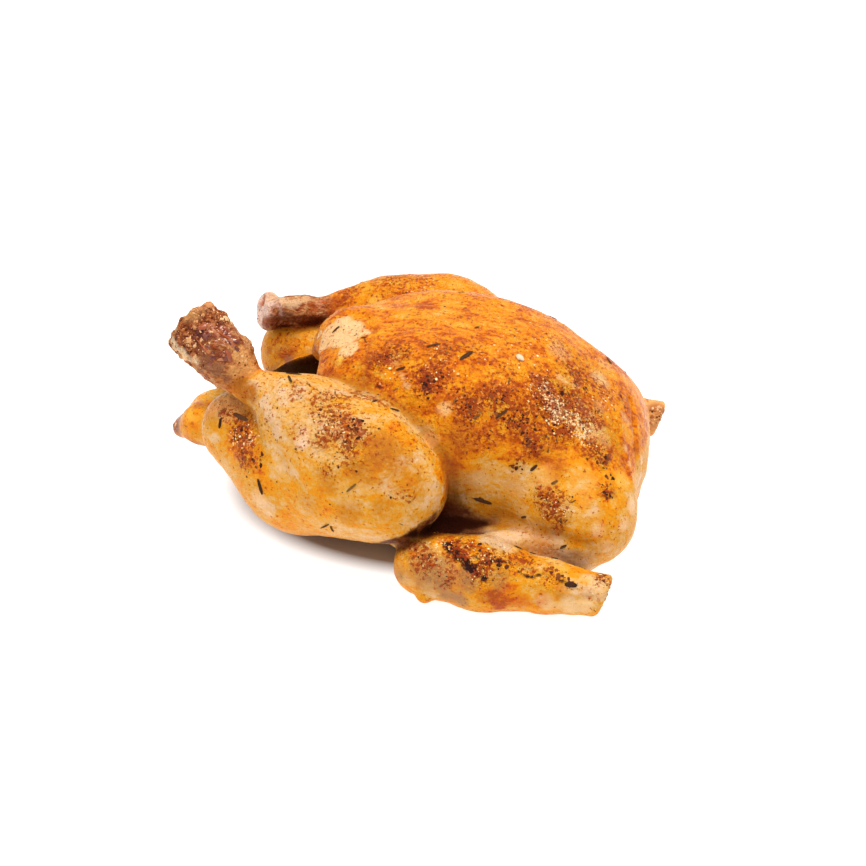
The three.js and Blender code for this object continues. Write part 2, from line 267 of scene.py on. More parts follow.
skin = bpy.data.objects.new("roast_skin", bird.data.copy())
bpy.context.scene.collection.objects.link(skin)
skin.data.materials.clear()
activate(skin)
bpy.ops.object.mode_set(mode="EDIT")
bpy.ops.mesh.select_all(action="SELECT")
bpy.ops.mesh.remove_doubles(threshold=0.02 * MM)
bpy.ops.object.mode_set(mode="OBJECT")
print("merged copy", len(skin.data.vertices), "points")

# %% Reading and smoothing
def read(items, what):
    """What each item says, as rows of three numbers."""
    flat = np.empty(len(items) * 3)
    items.foreach_get(what, flat)
    return flat.reshape(-1, 3)


def points_of(obj):
    """The object's points in millimetres."""
    return read(obj.data.vertices, "co") / MM


def write_points(obj, points):
    """Moves an object's points to places in millimetres and gives its new normals."""
    obj.data.vertices.foreach_set("co", (points * MM).ravel())
    obj.data.update()
    return read(obj.data.vertex_normals, "vector")


def remeshed(obj, cell):
    """Covers the object with even quads, notes its edges and quads, and gives its points."""
    global edges, quads, count, degree
    remesh = obj.modifiers.new("Remesh", "REMESH")
    remesh.mode = "VOXEL"
    remesh.voxel_size = cell * MM
    apply_modifiers(obj)
    edges = np.array([edge.vertices for edge in obj.data.edges])
    quads = np.array([face.vertices for face in obj.data.polygons if len(face.vertices) == 4])
    count = len(obj.data.vertices)
    degree = np.bincount(edges.ravel(), minlength=count)
    print("skin with", count, "points and", 2 * len(obj.data.polygons), "triangles")
    return points_of(obj)


def keep(mesh, name, values):
    """Keeps a number at each point, which the material can read."""
    attribute = mesh.attributes.new(name, "FLOAT", "POINT")
    attribute.data.foreach_set("value", np.asarray(values, np.float32))


def neighbours_mean(values):
    """For each point, the mean of its neighbours' values."""
    columns = values.reshape(count, -1)
    sums = [
        np.bincount(edges[:, 0], weights=column[edges[:, 1]], minlength=count)
        + np.bincount(edges[:, 1], weights=column[edges[:, 0]], minlength=count)
        for column in columns.T
    ]
    return (np.stack(sums, 1) / degree[:, None]).reshape(values.shape)


def smoothed(values, rounds, there=0.5, back=0.0):
    """Values evened out over the skin. With back near -there the form doesn't shrink."""
    for _ in range(rounds):
        values = values + there * (neighbours_mean(values) - values)
        if back:
            values = values + back * (neighbours_mean(values) - values)
    return values


points = smoothed(remeshed(skin, FIRST_CELL), rounds=8, there=0.6, back=-0.55)

# %% [markdown]
# ## Muscles under the skin
# The solid melts its limbs softly into each other, because its faces are too wide for sharp creases. Here
# each muscle is written once more as a distance field with the solid's own sizes, and the fine skin is
# drawn onto them with much tighter joins. A field also tells which muscle a point of the skin belongs to,
# so colours and wrinkles can follow the anatomy. Places are in millimetres.

# %% Distance fields
def ellipsoid(centre, radii, pitch=0):
    """An ellipsoid whose front is tipped down by pitch degrees."""
    cos, sin = math.cos(math.radians(pitch)), math.sin(math.radians(pitch))

    def field(p):
        q = p - np.array(centre, float)
        q = np.stack([q[:, 0] * cos - q[:, 2] * sin, q[:, 1], q[:, 0] * sin + q[:, 2] * cos], 1) / radii
        reach = np.linalg.norm(q, axis=1)
        slope = np.linalg.norm(q / radii, axis=1) + 1e-9
        return reach * (reach - 1) / slope

    return field


def limb(*stations, blend=4):
    """A tube along places, each with its radius."""

    def cone(a, b, ra, rb):
        a, b = np.array(a, float), np.array(b, float)
        axis = b - a
        l2 = axis @ axis
        rr = ra - rb
        a2 = l2 - rr * rr

        def field(p):
            q = p - a
            along = q @ axis
            beyond = along - l2
            off = q * l2 - along[:, None] * axis
            x2 = np.einsum("ij,ij->i", off, off)
            y2 = along * along * l2
            z2 = beyond * beyond * l2
            k = np.sign(rr) * rr * rr * x2
            middle = (np.sqrt(x2 * a2 / l2) + along * rr) / l2 - ra
            near_a = np.sqrt(x2 + y2) / l2 - ra
            near_b = np.sqrt(x2 + z2) / l2 - rb
            before_b = np.where(np.sign(along) * a2 * y2 < k, near_a, middle)
            return np.where(np.sign(beyond) * a2 * z2 > k, near_b, before_b)

        return field

    return melt(blend, *[cone(a, b, ra, rb) for (a, ra), (b, rb) in zip(stations, stations[1:])])


def melt(blend, *fields):
    """Fields that run into each other where they are closer than the blend."""

    def field(p):
        near = fields[0](p)
        for other in fields[1:]:
            near = melted(near, other(p), blend)
        return near

    return field


def carve(blend, solid, hollow):
    def field(p):
        a, b = solid(p), -hollow(p)
        h = np.maximum(blend - np.abs(a - b), 0) / blend
        return np.maximum(a, b) + h * h * blend / 4

    return field


def lerp(a, b, t):
    return np.array(a) + (np.array(b) - np.array(a)) * t


def unit(a):
    return np.array(a) / np.linalg.norm(a)


def step(low, high, values):
    """0 below low, 1 above high and a smooth rise between."""
    t = np.clip((values - low) / (high - low), 0, 1)
    return t * t * (3 - 2 * t)


def melted(a, b, blend):
    """The nearer of two values, lower still where they are closer than the blend."""
    h = np.maximum(blend - np.abs(a - b), 0) / blend
    return np.minimum(a, b) - h * h * blend / 4


print("field tools ready")

# %% The bird's muscles
LEFT_LEG = {
    "rump": (-69, -46, 49), "hip": (-36, -53, 38), "knee": (5, -66, 44), "neck": (-61, -53, 75),
    "ankle": (-73, -51, 86), "tip": (-85, -48, 95), "shank": (6.5, 11.5, 12.5),
}
RIGHT_LEG = {
    "rump": (-76, 46, 45), "hip": (-34, 54, 38), "knee": (6, 65, 54), "neck": (-53, 49, 71),
    "ankle": (-72, 43, 70), "tip": (-84, 38, 70), "shank": (6.3, 6.5, 7.5),
}
LEFT_WING = {"shoulder": (86, -54, 15), "elbow": (28, -80, 13), "wrist": (101, -81, 11.5)}
RIGHT_WING = {"shoulder": (82, 54, 15), "elbow": (26, 83, 13), "wrist": (97, 87, 12)}


def torso():
    lobes = [ellipsoid((24, y, 54), (70, 38, 42), 7) for y in (-22, 22)]
    shoulders = [ellipsoid(at, (23, 23, 23)) for at in ((91, -42, 26), (80, 42, 27))]
    flanks = [ellipsoid((32, y, 13), (36, 20, 12)) for y in (-50, 50)]
    keel = limb(((-30, 0, 76), 17), ((56, 0, 70), 19))
    back, neck_end = ellipsoid((4, 0, 32), (101, 54, 38)), ellipsoid((80, 0, 35), (30, 58, 35))
    body = melt(16, back, *lobes, keel, neck_end, *shoulders, *flanks)
    return melt(3, body, limb(((89, -24, 12), 11), ((97, 0, 17), 11), ((89, 24, 12), 11)))


def thigh(leg):
    return limb((leg["rump"], 19), (leg["hip"], 29), (leg["knee"], 22), blend=10)


def drumstick(leg, slim=0.0):
    """Slim is how far the neck's underside is drawn in, towards its upper side."""
    # each share of the way from knee to neck, its radius and its share of the slimming
    stations = (
        (-0.05, 23, 0), (0.2, 28, 0), (0.55, 22, 0.35), (0.72, 16, 1), (0.88, 10, 0.8), (1, 7.5, 0.3),
    )
    upward = np.array((0.62, 0.1, 0.78))
    return limb(*[
        (lerp(leg["knee"], leg["neck"], t) + upward * slim * share, radius - slim * share)
        for t, radius, share in stations
    ], blend=8)


def shank(leg):
    neck, middle, end = leg["shank"]
    inside = lerp(leg["neck"], leg["knee"], 0.15)
    return limb((inside, neck), (leg["neck"], neck), (leg["ankle"], middle), (leg["tip"], end), blend=6)


def left_shank_end():
    axis = unit(np.subtract(LEFT_LEG["tip"], LEFT_LEG["ankle"]))
    beyond = np.array(LEFT_LEG["tip"]) + 9 * axis
    stump = limb((LEFT_LEG["tip"], 12.5), (beyond, 12.5))
    return carve(3, melt(5, shank(LEFT_LEG), stump), lambda p: -(p - beyond) @ axis)


def right_shank_end():
    facing = unit((-0.75, -0.62, 0.22))
    centre = np.array(RIGHT_LEG["tip"]) + 3.6 * facing

    def ring(p):
        q = p - centre
        along = q @ facing
        out = np.sqrt(np.maximum(np.einsum("ij,ij->i", q, q) - along**2, 0))
        return np.hypot(out - 6.2, along) - 3.6

    return melt(2, shank(RIGHT_LEG), ring)


def upper_wing(wing):
    middle = lerp(wing["shoulder"], wing["elbow"], 0.5)
    return limb((wing["shoulder"], 14), (middle, 12), (wing["elbow"], 11))


def forearm(wing):
    stations = ((0, 14), (0.35, 16), (0.75, 11.5), (0.9, 10.5))
    return limb(*[(lerp(wing["elbow"], wing["wrist"], t), radius) for t, radius in stations])


def wrist_end(wing):
    axis = unit(np.subtract(wing["wrist"], wing["elbow"]))
    beyond = np.array(wing["wrist"]) + 8 * axis
    slant = unit(axis + (0, 0, -0.3))
    end = limb((lerp(wing["elbow"], wing["wrist"], 0.8), 9.5), (beyond, 9.5))
    return carve(3, end, lambda p: -(p - beyond) @ slant)


def tail():
    return melt(5, *[
        limb(((-88, 10 * side, 30), 15), ((-107, 6 * side, 26), 10), ((-121, 1.5 * side, 19), 4))
        for side in (-1, 1)
    ])


cavity = limb(((-100, 0, 60), 24), ((-58, 0, 47), 20), ((8, 0, 43), 26), blend=8)
mouth = melt(4, cavity, limb(((-56, -26, 63), 22), ((-62, -26, 63), 22)))
MUSCLES = {
    "trunk": carve(3, melt(8, torso(), tail()), mouth),
    "tail": carve(3, tail(), cavity),
    "left_thigh": carve(3, thigh(LEFT_LEG), cavity),
    "right_thigh": carve(3, thigh(RIGHT_LEG), cavity),
    "left_drumstick": drumstick(LEFT_LEG, 3.2),
    "right_drumstick": drumstick(RIGHT_LEG),
    "left_upper_wing": upper_wing(LEFT_WING),
    "right_upper_wing": upper_wing(RIGHT_WING),
    "left_forearm": melt(3, forearm(LEFT_WING), limb(((31, -91, 4), 3.5), ((31, -90, 6), 3.5))),
    "right_forearm": forearm(RIGHT_WING),
    "left_shank": left_shank_end(),
    "right_shank": right_shank_end(),
    "left_wrist": wrist_end(LEFT_WING),
    "right_wrist": wrist_end(RIGHT_WING),
}
JOINS = {"tail": 0.1, "left_thigh": 4, "right_thigh": 5, "left_upper_wing": 4, "right_upper_wing": 4}
TIGHT = 2.2
SHIFT = np.array([4.598, -2.095, 0])  # from the solid's driving sizes to the frame


def whole_bird(p):
    """The field of the whole bird, with each muscle joined in turn."""
    values = {name: muscle(p - SHIFT) for name, muscle in MUSCLES.items()}
    toward_knee = step(-48, -14, p[:, 0])
    for side in ("left", "right"):
        lower = values.pop(side + "_drumstick")
        values[side + "_thigh"] = melted(values[side + "_thigh"], lower, lerp(2.5, 18, toward_knee))
    near = values.pop("trunk")
    for name, value in values.items():
        near = melted(near, value, JOINS.get(name, TIGHT))
    return near


print(len(MUSCLES), "muscles")

# %% Draw the skin onto the muscles
def slope_of(field, p, here):
    ahead = [field(p + offset) for offset in 0.05 * np.eye(3)]
    return np.stack([(value - here) / 0.05 for value in ahead], 1)


def drawn(points, reach, rounds):
    """Points moved onto the muscles, each no further than reach from where it starts."""
    start = points
    for _ in range(rounds):
        here = whole_bird(points)
        slope = slope_of(whole_bird, points, here)
        steep = np.maximum(np.einsum("ij,ij->i", slope, slope), 0.3)
        points = points - slope * (np.clip(here, -2, 2) / steep)[:, None]
        moved = points - start
        far = np.linalg.norm(moved, axis=1)
        points = start + moved * np.minimum(1, reach / np.maximum(far, 1e-6))[:, None]
    points[:, 2] = np.maximum(points[:, 2], 0)
    print("moved on average", round(float(far.mean()), 2), "mm, at most", round(float(far.max()), 1), "mm")
    return points


points = drawn(points, reach=14, rounds=12)
write_points(skin, points)

# %% [markdown]
# Where two muscles only come close, the solid bridges the gap, and the bridge is left hanging as a strand.
# Faces that lie off the muscles are cut out, the two holes are closed, and a finer remesh makes the quads
# even again. The finer skin is then drawn onto the muscles once more.

# %% Cut the bridges and remesh
floating = whole_bird(points[quads].mean(1)) > 0.5
bpy.context.tool_settings.mesh_select_mode = (False, False, True)
skin.data.polygons.foreach_set("select", floating)
bpy.ops.object.mode_set(mode="EDIT")
bpy.ops.mesh.delete(type="FACE")
bpy.ops.mesh.select_mode(type="VERT")
bpy.ops.mesh.select_all(action="DESELECT")
bpy.ops.mesh.select_non_manifold()
bpy.ops.mesh.fill_holes(sides=0)
bpy.ops.object.mode_set(mode="OBJECT")
print(int(floating.sum()), "floating faces cut out")

points = smoothed(remeshed(skin, SKIN_CELL), rounds=4, there=0.5, back=-0.45)
points = smoothed(drawn(points, reach=3, rounds=3), rounds=2, there=0.5, back=-0.45)
points[:, 2] = np.maximum(points[:, 2], 0)
normals = write_points(skin, points)
bpy.ops.object.shade_smooth()

# %% Which muscle each point belongs to
values = {name: muscle(points - SHIFT) for name, muscle in MUSCLES.items()}


def region(*names, soft=1.5):
    """1 on the named muscles and 0 on the others."""
    inner = np.minimum.reduce([values[name] for name in names])
    outer = np.minimum.reduce([values[name] for name in MUSCLES if name not in names])
    return step(-soft, soft, outer - inner)


def bare_end(side):
    """1 on a shank, up to the edge of the drumstick's skin."""
    beyond = step(-1, 1, values[side + "_drumstick"] - values[side + "_shank"] - 0.3)
    return beyond * region(side + "_shank", side + "_drumstick")


left_leg = region("left_drumstick")
right_leg = region("right_drumstick")
thighs = region("left_thigh", "right_thigh")
wings = region("left_forearm", "right_forearm", "left_wrist", "right_wrist")
arms = region("left_upper_wing", "right_upper_wing")
rump = region("tail")
bare_left, bare_right = bare_end("left"), bare_end("right")
print("points on the left drumstick", int(left_leg.sum()), "and on its bare end", int(bare_left.sum()))

# %% [markdown]
# ## Creases, folds and wrinkles
# Roasting tightens the skin over round muscles. First come folds along named lines, each with a width and
# a height, and then noise: soft unevenness everywhere, small pores where the skin is smooth, and crinkles
# where it is crisp.

# %% Folds
def stroke_distance(line, canvas):
    """Each canvas point's distance from a line through several places."""
    best = np.full(count, 1e9)
    for a, b in zip(np.array(line[:-1], float), np.array(line[1:], float)):
        along = np.clip((canvas - a) @ (b - a) / ((b - a) @ (b - a)), 0, 1)
        best = np.minimum(best, np.linalg.norm(canvas - a - along[:, None] * (b - a), axis=1))
    return best


FOLDS = [
    # line, width and height in millimetres
    ([(-40, -79, 68), (-37, -82, 64), (-33, -85, 58), (-27, -88, 53), (-20, -91, 50)], 6, -1.3),
    # the torn edge of the skin about the bare breast meat
    ([(-20, -2, 95), (-13, -9, 95), (-6, -20, 95), (-5, -31, 93), (-6, -39, 89), (-7, -46, 84)], 3.2, 1.3),
    ([(-36, -22, 80), (-27, -32, 82), (-17, -39, 85), (-10, -42, 88)], 2.4, 0.7),
    ([(-50, 30, 76), (-40, 10, 85), (-29, -2, 93), (-21, -5, 94)], 2.6, 0.8),
    # the breast's overhang above the upper wing
    ([(50, -66, 27), (57, -67, 28), (64, -63, 30), (76, -67, 30), (90, -69, 29), (103, -67, 26)], 5, -1.8),
    # folds at the neck end
    ([(103, -13, 63), (107, -24, 56), (112, -30, 47), (116, -39, 40)], 3, 1.1),
    ([(105, 6, 61), (110, -7, 55), (113, -15, 48), (115, -20, 40)], 3, -1.3),
    # wrinkles of the forearm
    ([(49, -92, 24), (56, -95, 23), (61, -96, 21), (65, -97, 19)], 2.6, -1.0),
    ([(72, -88, 25), (82, -90, 22), (89, -91, 21), (97, -91, 18), (103, -91, 17)], 2.4, -0.8),
    ([(83, -95, 16), (94, -94, 13), (106, -92, 14), (114, -90, 15)], 3, -0.9),
    # a curl of loose skin on the breast
    ([(50, -44, 85), (55, -43, 85), (56, -45, 82), (52, -48, 81), (50, -47, 83)], 1.7, 0.6),
]
for line, width, height in FOLDS:
    lift = np.clip(1 - (stroke_distance(line, points) / width) ** 2, 0, 1) ** 2
    points = points + normals * (height * lift)[:, None]
normals = write_points(skin, points)
# How hollow each point lies. Creases get painted shade, a dark brown in the material.
hollow = np.einsum("ij,ij->i", smoothed(points, 30) - points, normals)
crease = step(0.15, 0.9, smoothed(np.clip(hollow, 0, 3), 2))
print(len(FOLDS), "folds, crease points", int(crease.sum()))

# %% [markdown]
# The skin is painted on a canvas: the bird's seen side as it is, and its far side with the same dabs
# mirrored and a little displaced, so that both sides are equally browned.

# %% Canvas, noise and dabs
def noise_field(size, octaves=2, stretch=(1, 1, 1), seed=0.0):
    """Smooth noise, about -1 to 1, with lumps of a size in millimetres."""
    scale = 1 / (size * np.array(stretch))
    return np.array([noise.fractal(Vector(p), 1.0, 2.0, octaves) for p in points * scale + seed])


warp = np.stack([noise_field(7, 2, seed=7.0 + axis) for axis in range(3)], 1)
turned = step(-0.1, 0.15, -(normals @ np.array(BACK)))
far_side = smoothed(turned * step(5, 20, points[:, 1] + 6 * warp[:, 0]), 12)
mirrored = points * (1, -1, 1) + (5, 2 * SHIFT[1], -3)


def nearness(canvas, place, radius, ragged):
    """1 at a place and 0 beyond its radius, with a ragged edge."""
    far = np.linalg.norm(canvas + ragged * warp - place, axis=1) / radius
    return np.clip(1 - far**2, 0, 1)


def both_sides(paint):
    """What paint gives on the seen side, and on the far side with the canvas mirrored."""
    return lerp(paint(points), paint(mirrored), far_side)


def dabs(places, ragged=2.5):
    """A mask from round dabs, each x, y, z, radius and strength."""

    def paint(canvas):
        clear = np.ones(count)
        for *place, radius, strength in places:
            clear *= 1 - strength * nearness(canvas, place, radius, ragged) ** 1.2
        return 1 - clear

    return both_sides(paint)


def levelled(values, places):
    """Values drawn towards each place's own level, the last number, over its radius."""

    def paint(canvas):
        laid = values
        for *place, radius, level in places:
            laid = laid + (level - laid) * np.clip(1.4 * nearness(canvas, place, radius, 2.5), 0, 1)
        return laid

    return both_sides(paint)


print("far side points", int(far_side.sum()))

# %% How shut in each point is, for painted shade
# Rays leave each point over the half of space that it faces. What they hit nearby shuts the point in, and
# the material paints shade where a point is shut in.
form_tree = bvhtree.BVHTree.FromPolygons(points.tolist(), quads.tolist())
RAYS, SIGHT = 8, 40
shade = np.zeros(count)
golden = math.pi * (3 - math.sqrt(5))
for number, (at, facing) in enumerate(zip(points, normals)):
    start = Vector(at + 0.6 * facing)
    for ray in range(RAYS):
        level = 1 - 2 * (ray + 0.5) / RAYS
        turn = golden * ray + number
        flat = math.sqrt(1 - level * level)
        way = Vector((flat * math.cos(turn), flat * math.sin(turn), level))
        way += Vector(facing) * 1.05
        hit = form_tree.ray_cast(start, way, SIGHT)[3]
        if hit is not None:
            shade[number] += (1 - hit / SIGHT) / RAYS
shade = smoothed(shade, 6)
print("shut in points", int(shade.sum()))

# %% Crisp and rough places
CRISP = [
    # each x, y, z, radius and strength
    (80, -30, 78, 24, 1), (92, -28, 70, 22, 1), (99, -34, 60, 16, 1), (66, -42, 78, 16, 0.8),
    (24, -51, 84, 14, 0.8), (46, -50, 78, 18, 0.6), (85, -2, 78, 20, 0.8), (74, -51, 64, 12, 0.8),
    (40, -20, 92, 30, 0.25), (0, -48, 85, 10, 0.5), (-8, -76, 79, 26, 0.5), (-49, -75, 60, 16, 0.8),
    (60, -88, 27, 22, 0.9), (84, -62, 41, 11, 0.8), (0, 50, 88, 20, 0.5),
]
crisp = dabs(CRISP)
crinkle = 0.5 * noise_field(3.4, 2, (1.5, 1, 1), seed=3.0) + 0.36 * noise_field(1.9, 1, seed=5.0)
soft = 0.4 * noise_field(16, 2, seed=1.0) + 0.2 * noise_field(6, 2, seed=2.0)
from_pore = np.array([noise.voronoi(Vector(p))[0][0] for p in points / 5.2])
pores = -0.24 * np.clip(1 - 1.6 * from_pore, 0, 1) ** 2
on_skin = 1 - np.maximum(bare_left, bare_right)
points = points + normals * (on_skin * (soft + crisp * crinkle + (1 - crisp) * pores))[:, None]
normals = write_points(skin, points)
print("crisp points", int(crisp.sum()))

# %% Bare ends
axis = unit(np.subtract(LEFT_LEG["tip"], LEFT_LEG["ankle"]))
along = (points - SHIFT - LEFT_LEG["ankle"]) @ axis
cut_face = step(5, 13, along + 2 * noise_field(6, 1, seed=14.0)) * bare_left
fade = step(-20, -3, along + 3 * warp[:, 0])
rough = 1.5 * noise_field(6, 2, seed=11.0) + 0.9 * noise_field(3, 2, seed=12.0)
sinews = 0.9 * noise_field(4.5, 2, (1.6, 1, 1), seed=13.0) + 0.6 * noise_field(2.6, 1, seed=15.0)
stringy = bare_left * fade - cut_face + 0.5 * bare_right
points = points + normals * (cut_face * rough + stringy * sinews)[:, None]
points[:, 2] = np.maximum(points[:, 2], 0)
normals = write_points(skin, points)
bare_left *= fade

# The far shank ends in a knuckle with a hollow in its middle.
KNUCKLE, KNUCKLE_FACING = (-83.9, 38.1, 74.6), unit((-0.3, -0.85, 0.4))
beside = points - np.array(KNUCKLE)
out = np.linalg.norm(beside - np.outer(beside @ KNUCKLE_FACING, KNUCKLE_FACING), axis=1)
pit = np.clip(1 - (out / 3.6) ** 2, 0, 1) * (beside @ KNUCKLE_FACING > 0)
points = points - 3.0 * pit[:, None] * KNUCKLE_FACING
normals = write_points(skin, points)
print("cut face points", int(cut_face.sum()), "knuckle pit points", int(pit.sum()))

# %% [markdown]
# ## Browning
# A roast browns where it is high, thin or near the heat. The tones are painted in round dabs with
# ragged edges, and kept as attributes of the skin's points, which the material reads. `gold` runs from
# pale skin over yellow gold to deep orange, `brown` and `char` are scorched places, and `spice` says how
# thick pepper and paprika lie.

# %% Golden and pale skin
# The top is golden and the underside pale. Limbs and places then have levels of their own.
forward = np.clip((points[:, 0] - 85) / 20, 0, 1)
gold = 0.3 + 0.42 * step(47, 55, points[:, 2] + 4 * noise_field(18, 2, seed=21.0) + 8 * forward)
LEVELS = ((left_leg, 0.26), (right_leg, 0.6), (thighs, 0.42), (wings, 0.5), (arms, 0.08), (rump, 0.6))
for place_of, level in LEVELS:
    gold = gold * (1 - place_of) + level * place_of
GOLD_PLACES = [
    # each x, y, z, radius and level
    (9, 7, 96, 21.4, 0.58), (-20, 14, 91, 8.5, 0.42), (31, -2, 96, 19, 0.62), (61, -30, 88, 10.4, 0.62),
    (73, -2, 88, 11.9, 0.6), (91, 6, 73, 11.9, 0.68), (44, -35, 92, 12.3, 0.75), (25, -31, 95, 11.9, 0.88),
    (5, -28, 96, 9.5, 0.8), (56, -44, 83, 14.2, 0.82), (44, -52, 80, 11.9, 0.9), (51, -58, 65, 16.6, 0.8),
    (70, -47, 72, 16.6, 0.82), (84, -47, 64, 14.2, 0.78), (100, -36, 61, 9.5, 0.75),
    (109, -40, 49, 5.7, 0.6), (102, -20, 63, 4.8, 0.55), (-4, -41, 88, 5.2, 1), (-1, -48, 84, 4.3, 1),
    (-49, 39, 73, 4.8, 0.85), (-19, 52, 88, 19, 0.72), (-49, 46, 79, 9.5, 0.75), (14, 26, 96, 9.5, 0.55),
    (12, -86, 65, 10.4, 0.85), (19, -74, 69, 9.5, 0.6), (27, -62, 68, 7.1, 0.4), (35, -70, 54, 6.2, 0.7),
    (37, -73, 42, 4.8, 0.75), (12, -94, 41, 14.2, 0.5), (-11, -94, 45, 11.9, 0.42),
    (-21, -91, 52, 11.9, 0.38), (23, -86, 56, 11.9, 0.28), (3, -95, 48, 9.5, 0.4), (-29, -87, 54, 6.6, 0.2),
    (-97, -5, 37, 5.7, 0.85), (-62, -61, 72, 7.1, 0.65), (-56, -71, 56, 11.9, 0.8),
    (-45, -82, 51, 9.5, 0.75), (-71, -66, 51, 4.3, 0.15), (-40, -86, 42, 7.1, 0.5),
    (-102, -18, 33, 5.7, 0.62), (69, -58, 50, 9.5, 0.25), (61, -59, 33, 11.9, 0.45), (52, -60, 41, 7.1, 0.4),
    (106, -62, 36, 11.9, 0.42), (90, -69, 28, 11.9, 0.5), (112, -51, 41, 6.2, 0.45), (95, -56, 50, 9.5, 0.3),
    (101, -62, 40, 4.8, 0.1), (74, -59, 48, 7.1, 0.22), (54, -60, 52, 8.5, 0.35), (83, -77, 23, 11.9, 0.6),
    (75, -80, 25, 7.1, 0.7), (58, -85, 29, 7.1, 0.85), (52, -96, 21, 7.1, 0.65), (29, -94, 18, 4.8, 0.35),
    (39, -96, 9, 5.7, 0.25), (70, -97, 10, 6.6, 1), (87, -95, 16, 9.5, 0.4), (104, -92, 13, 9.5, 0.12),
    (112, -90, 18, 7.1, 0.08), (-72, 28, 56, 13.3, 0.62), (65, -77, 28, 11.9, 0), (86, -72, 24, 11.9, 0.05),
    (-6, -95, 56, 7.6, 0.5), (7, -92, 61, 7.6, 0.55), (13, -83, 68, 6.6, 0.68), (25, -85, 56, 5.7, 0.6),
    (-38, -85, 31, 5.7, 0.2), (-48, -82, 43, 4.8, 0.35), (-10, -68, 81, 5.7, 0.45), (6, -67, 78, 5.7, 0.5),
    # the next three places, with levels below zero, are a painted highlight: a pale strip along the
    # drumstick's left flank
    (-45, -70, 77, 4.8, -0.2), (-40, -76, 73, 4.8, -0.2), (-36, -82, 68, 4.3, -0.1),
    (-23, -89, 53, 3.8, 0.1), (-53, -64, 80, 4.3, 0), (-34, -71, 81, 5.7, 0.1), (-27, -69, 83, 5.7, 0.15),
    (111, -43, 46, 5.7, 0.45), (93, -4, 72, 5.7, 0.5), (108, -15, 56, 4.3, 0.5), (-5, 6, 95, 7.6, 0.86),
    (9, 7, 96, 7.1, 0.92), (25, -31, 95, 7.6, 0.8), (5, -51, 82, 5.2, 0.9), (92, -53, 54, 6.2, 0.65),
    (98, -61, 44, 5.7, 0.6),
]
gold = levelled(gold, GOLD_PLACES) + 0.1 * noise_field(14, 3, seed=22.0)
print("mean gold", round(float(gold.mean()), 2))

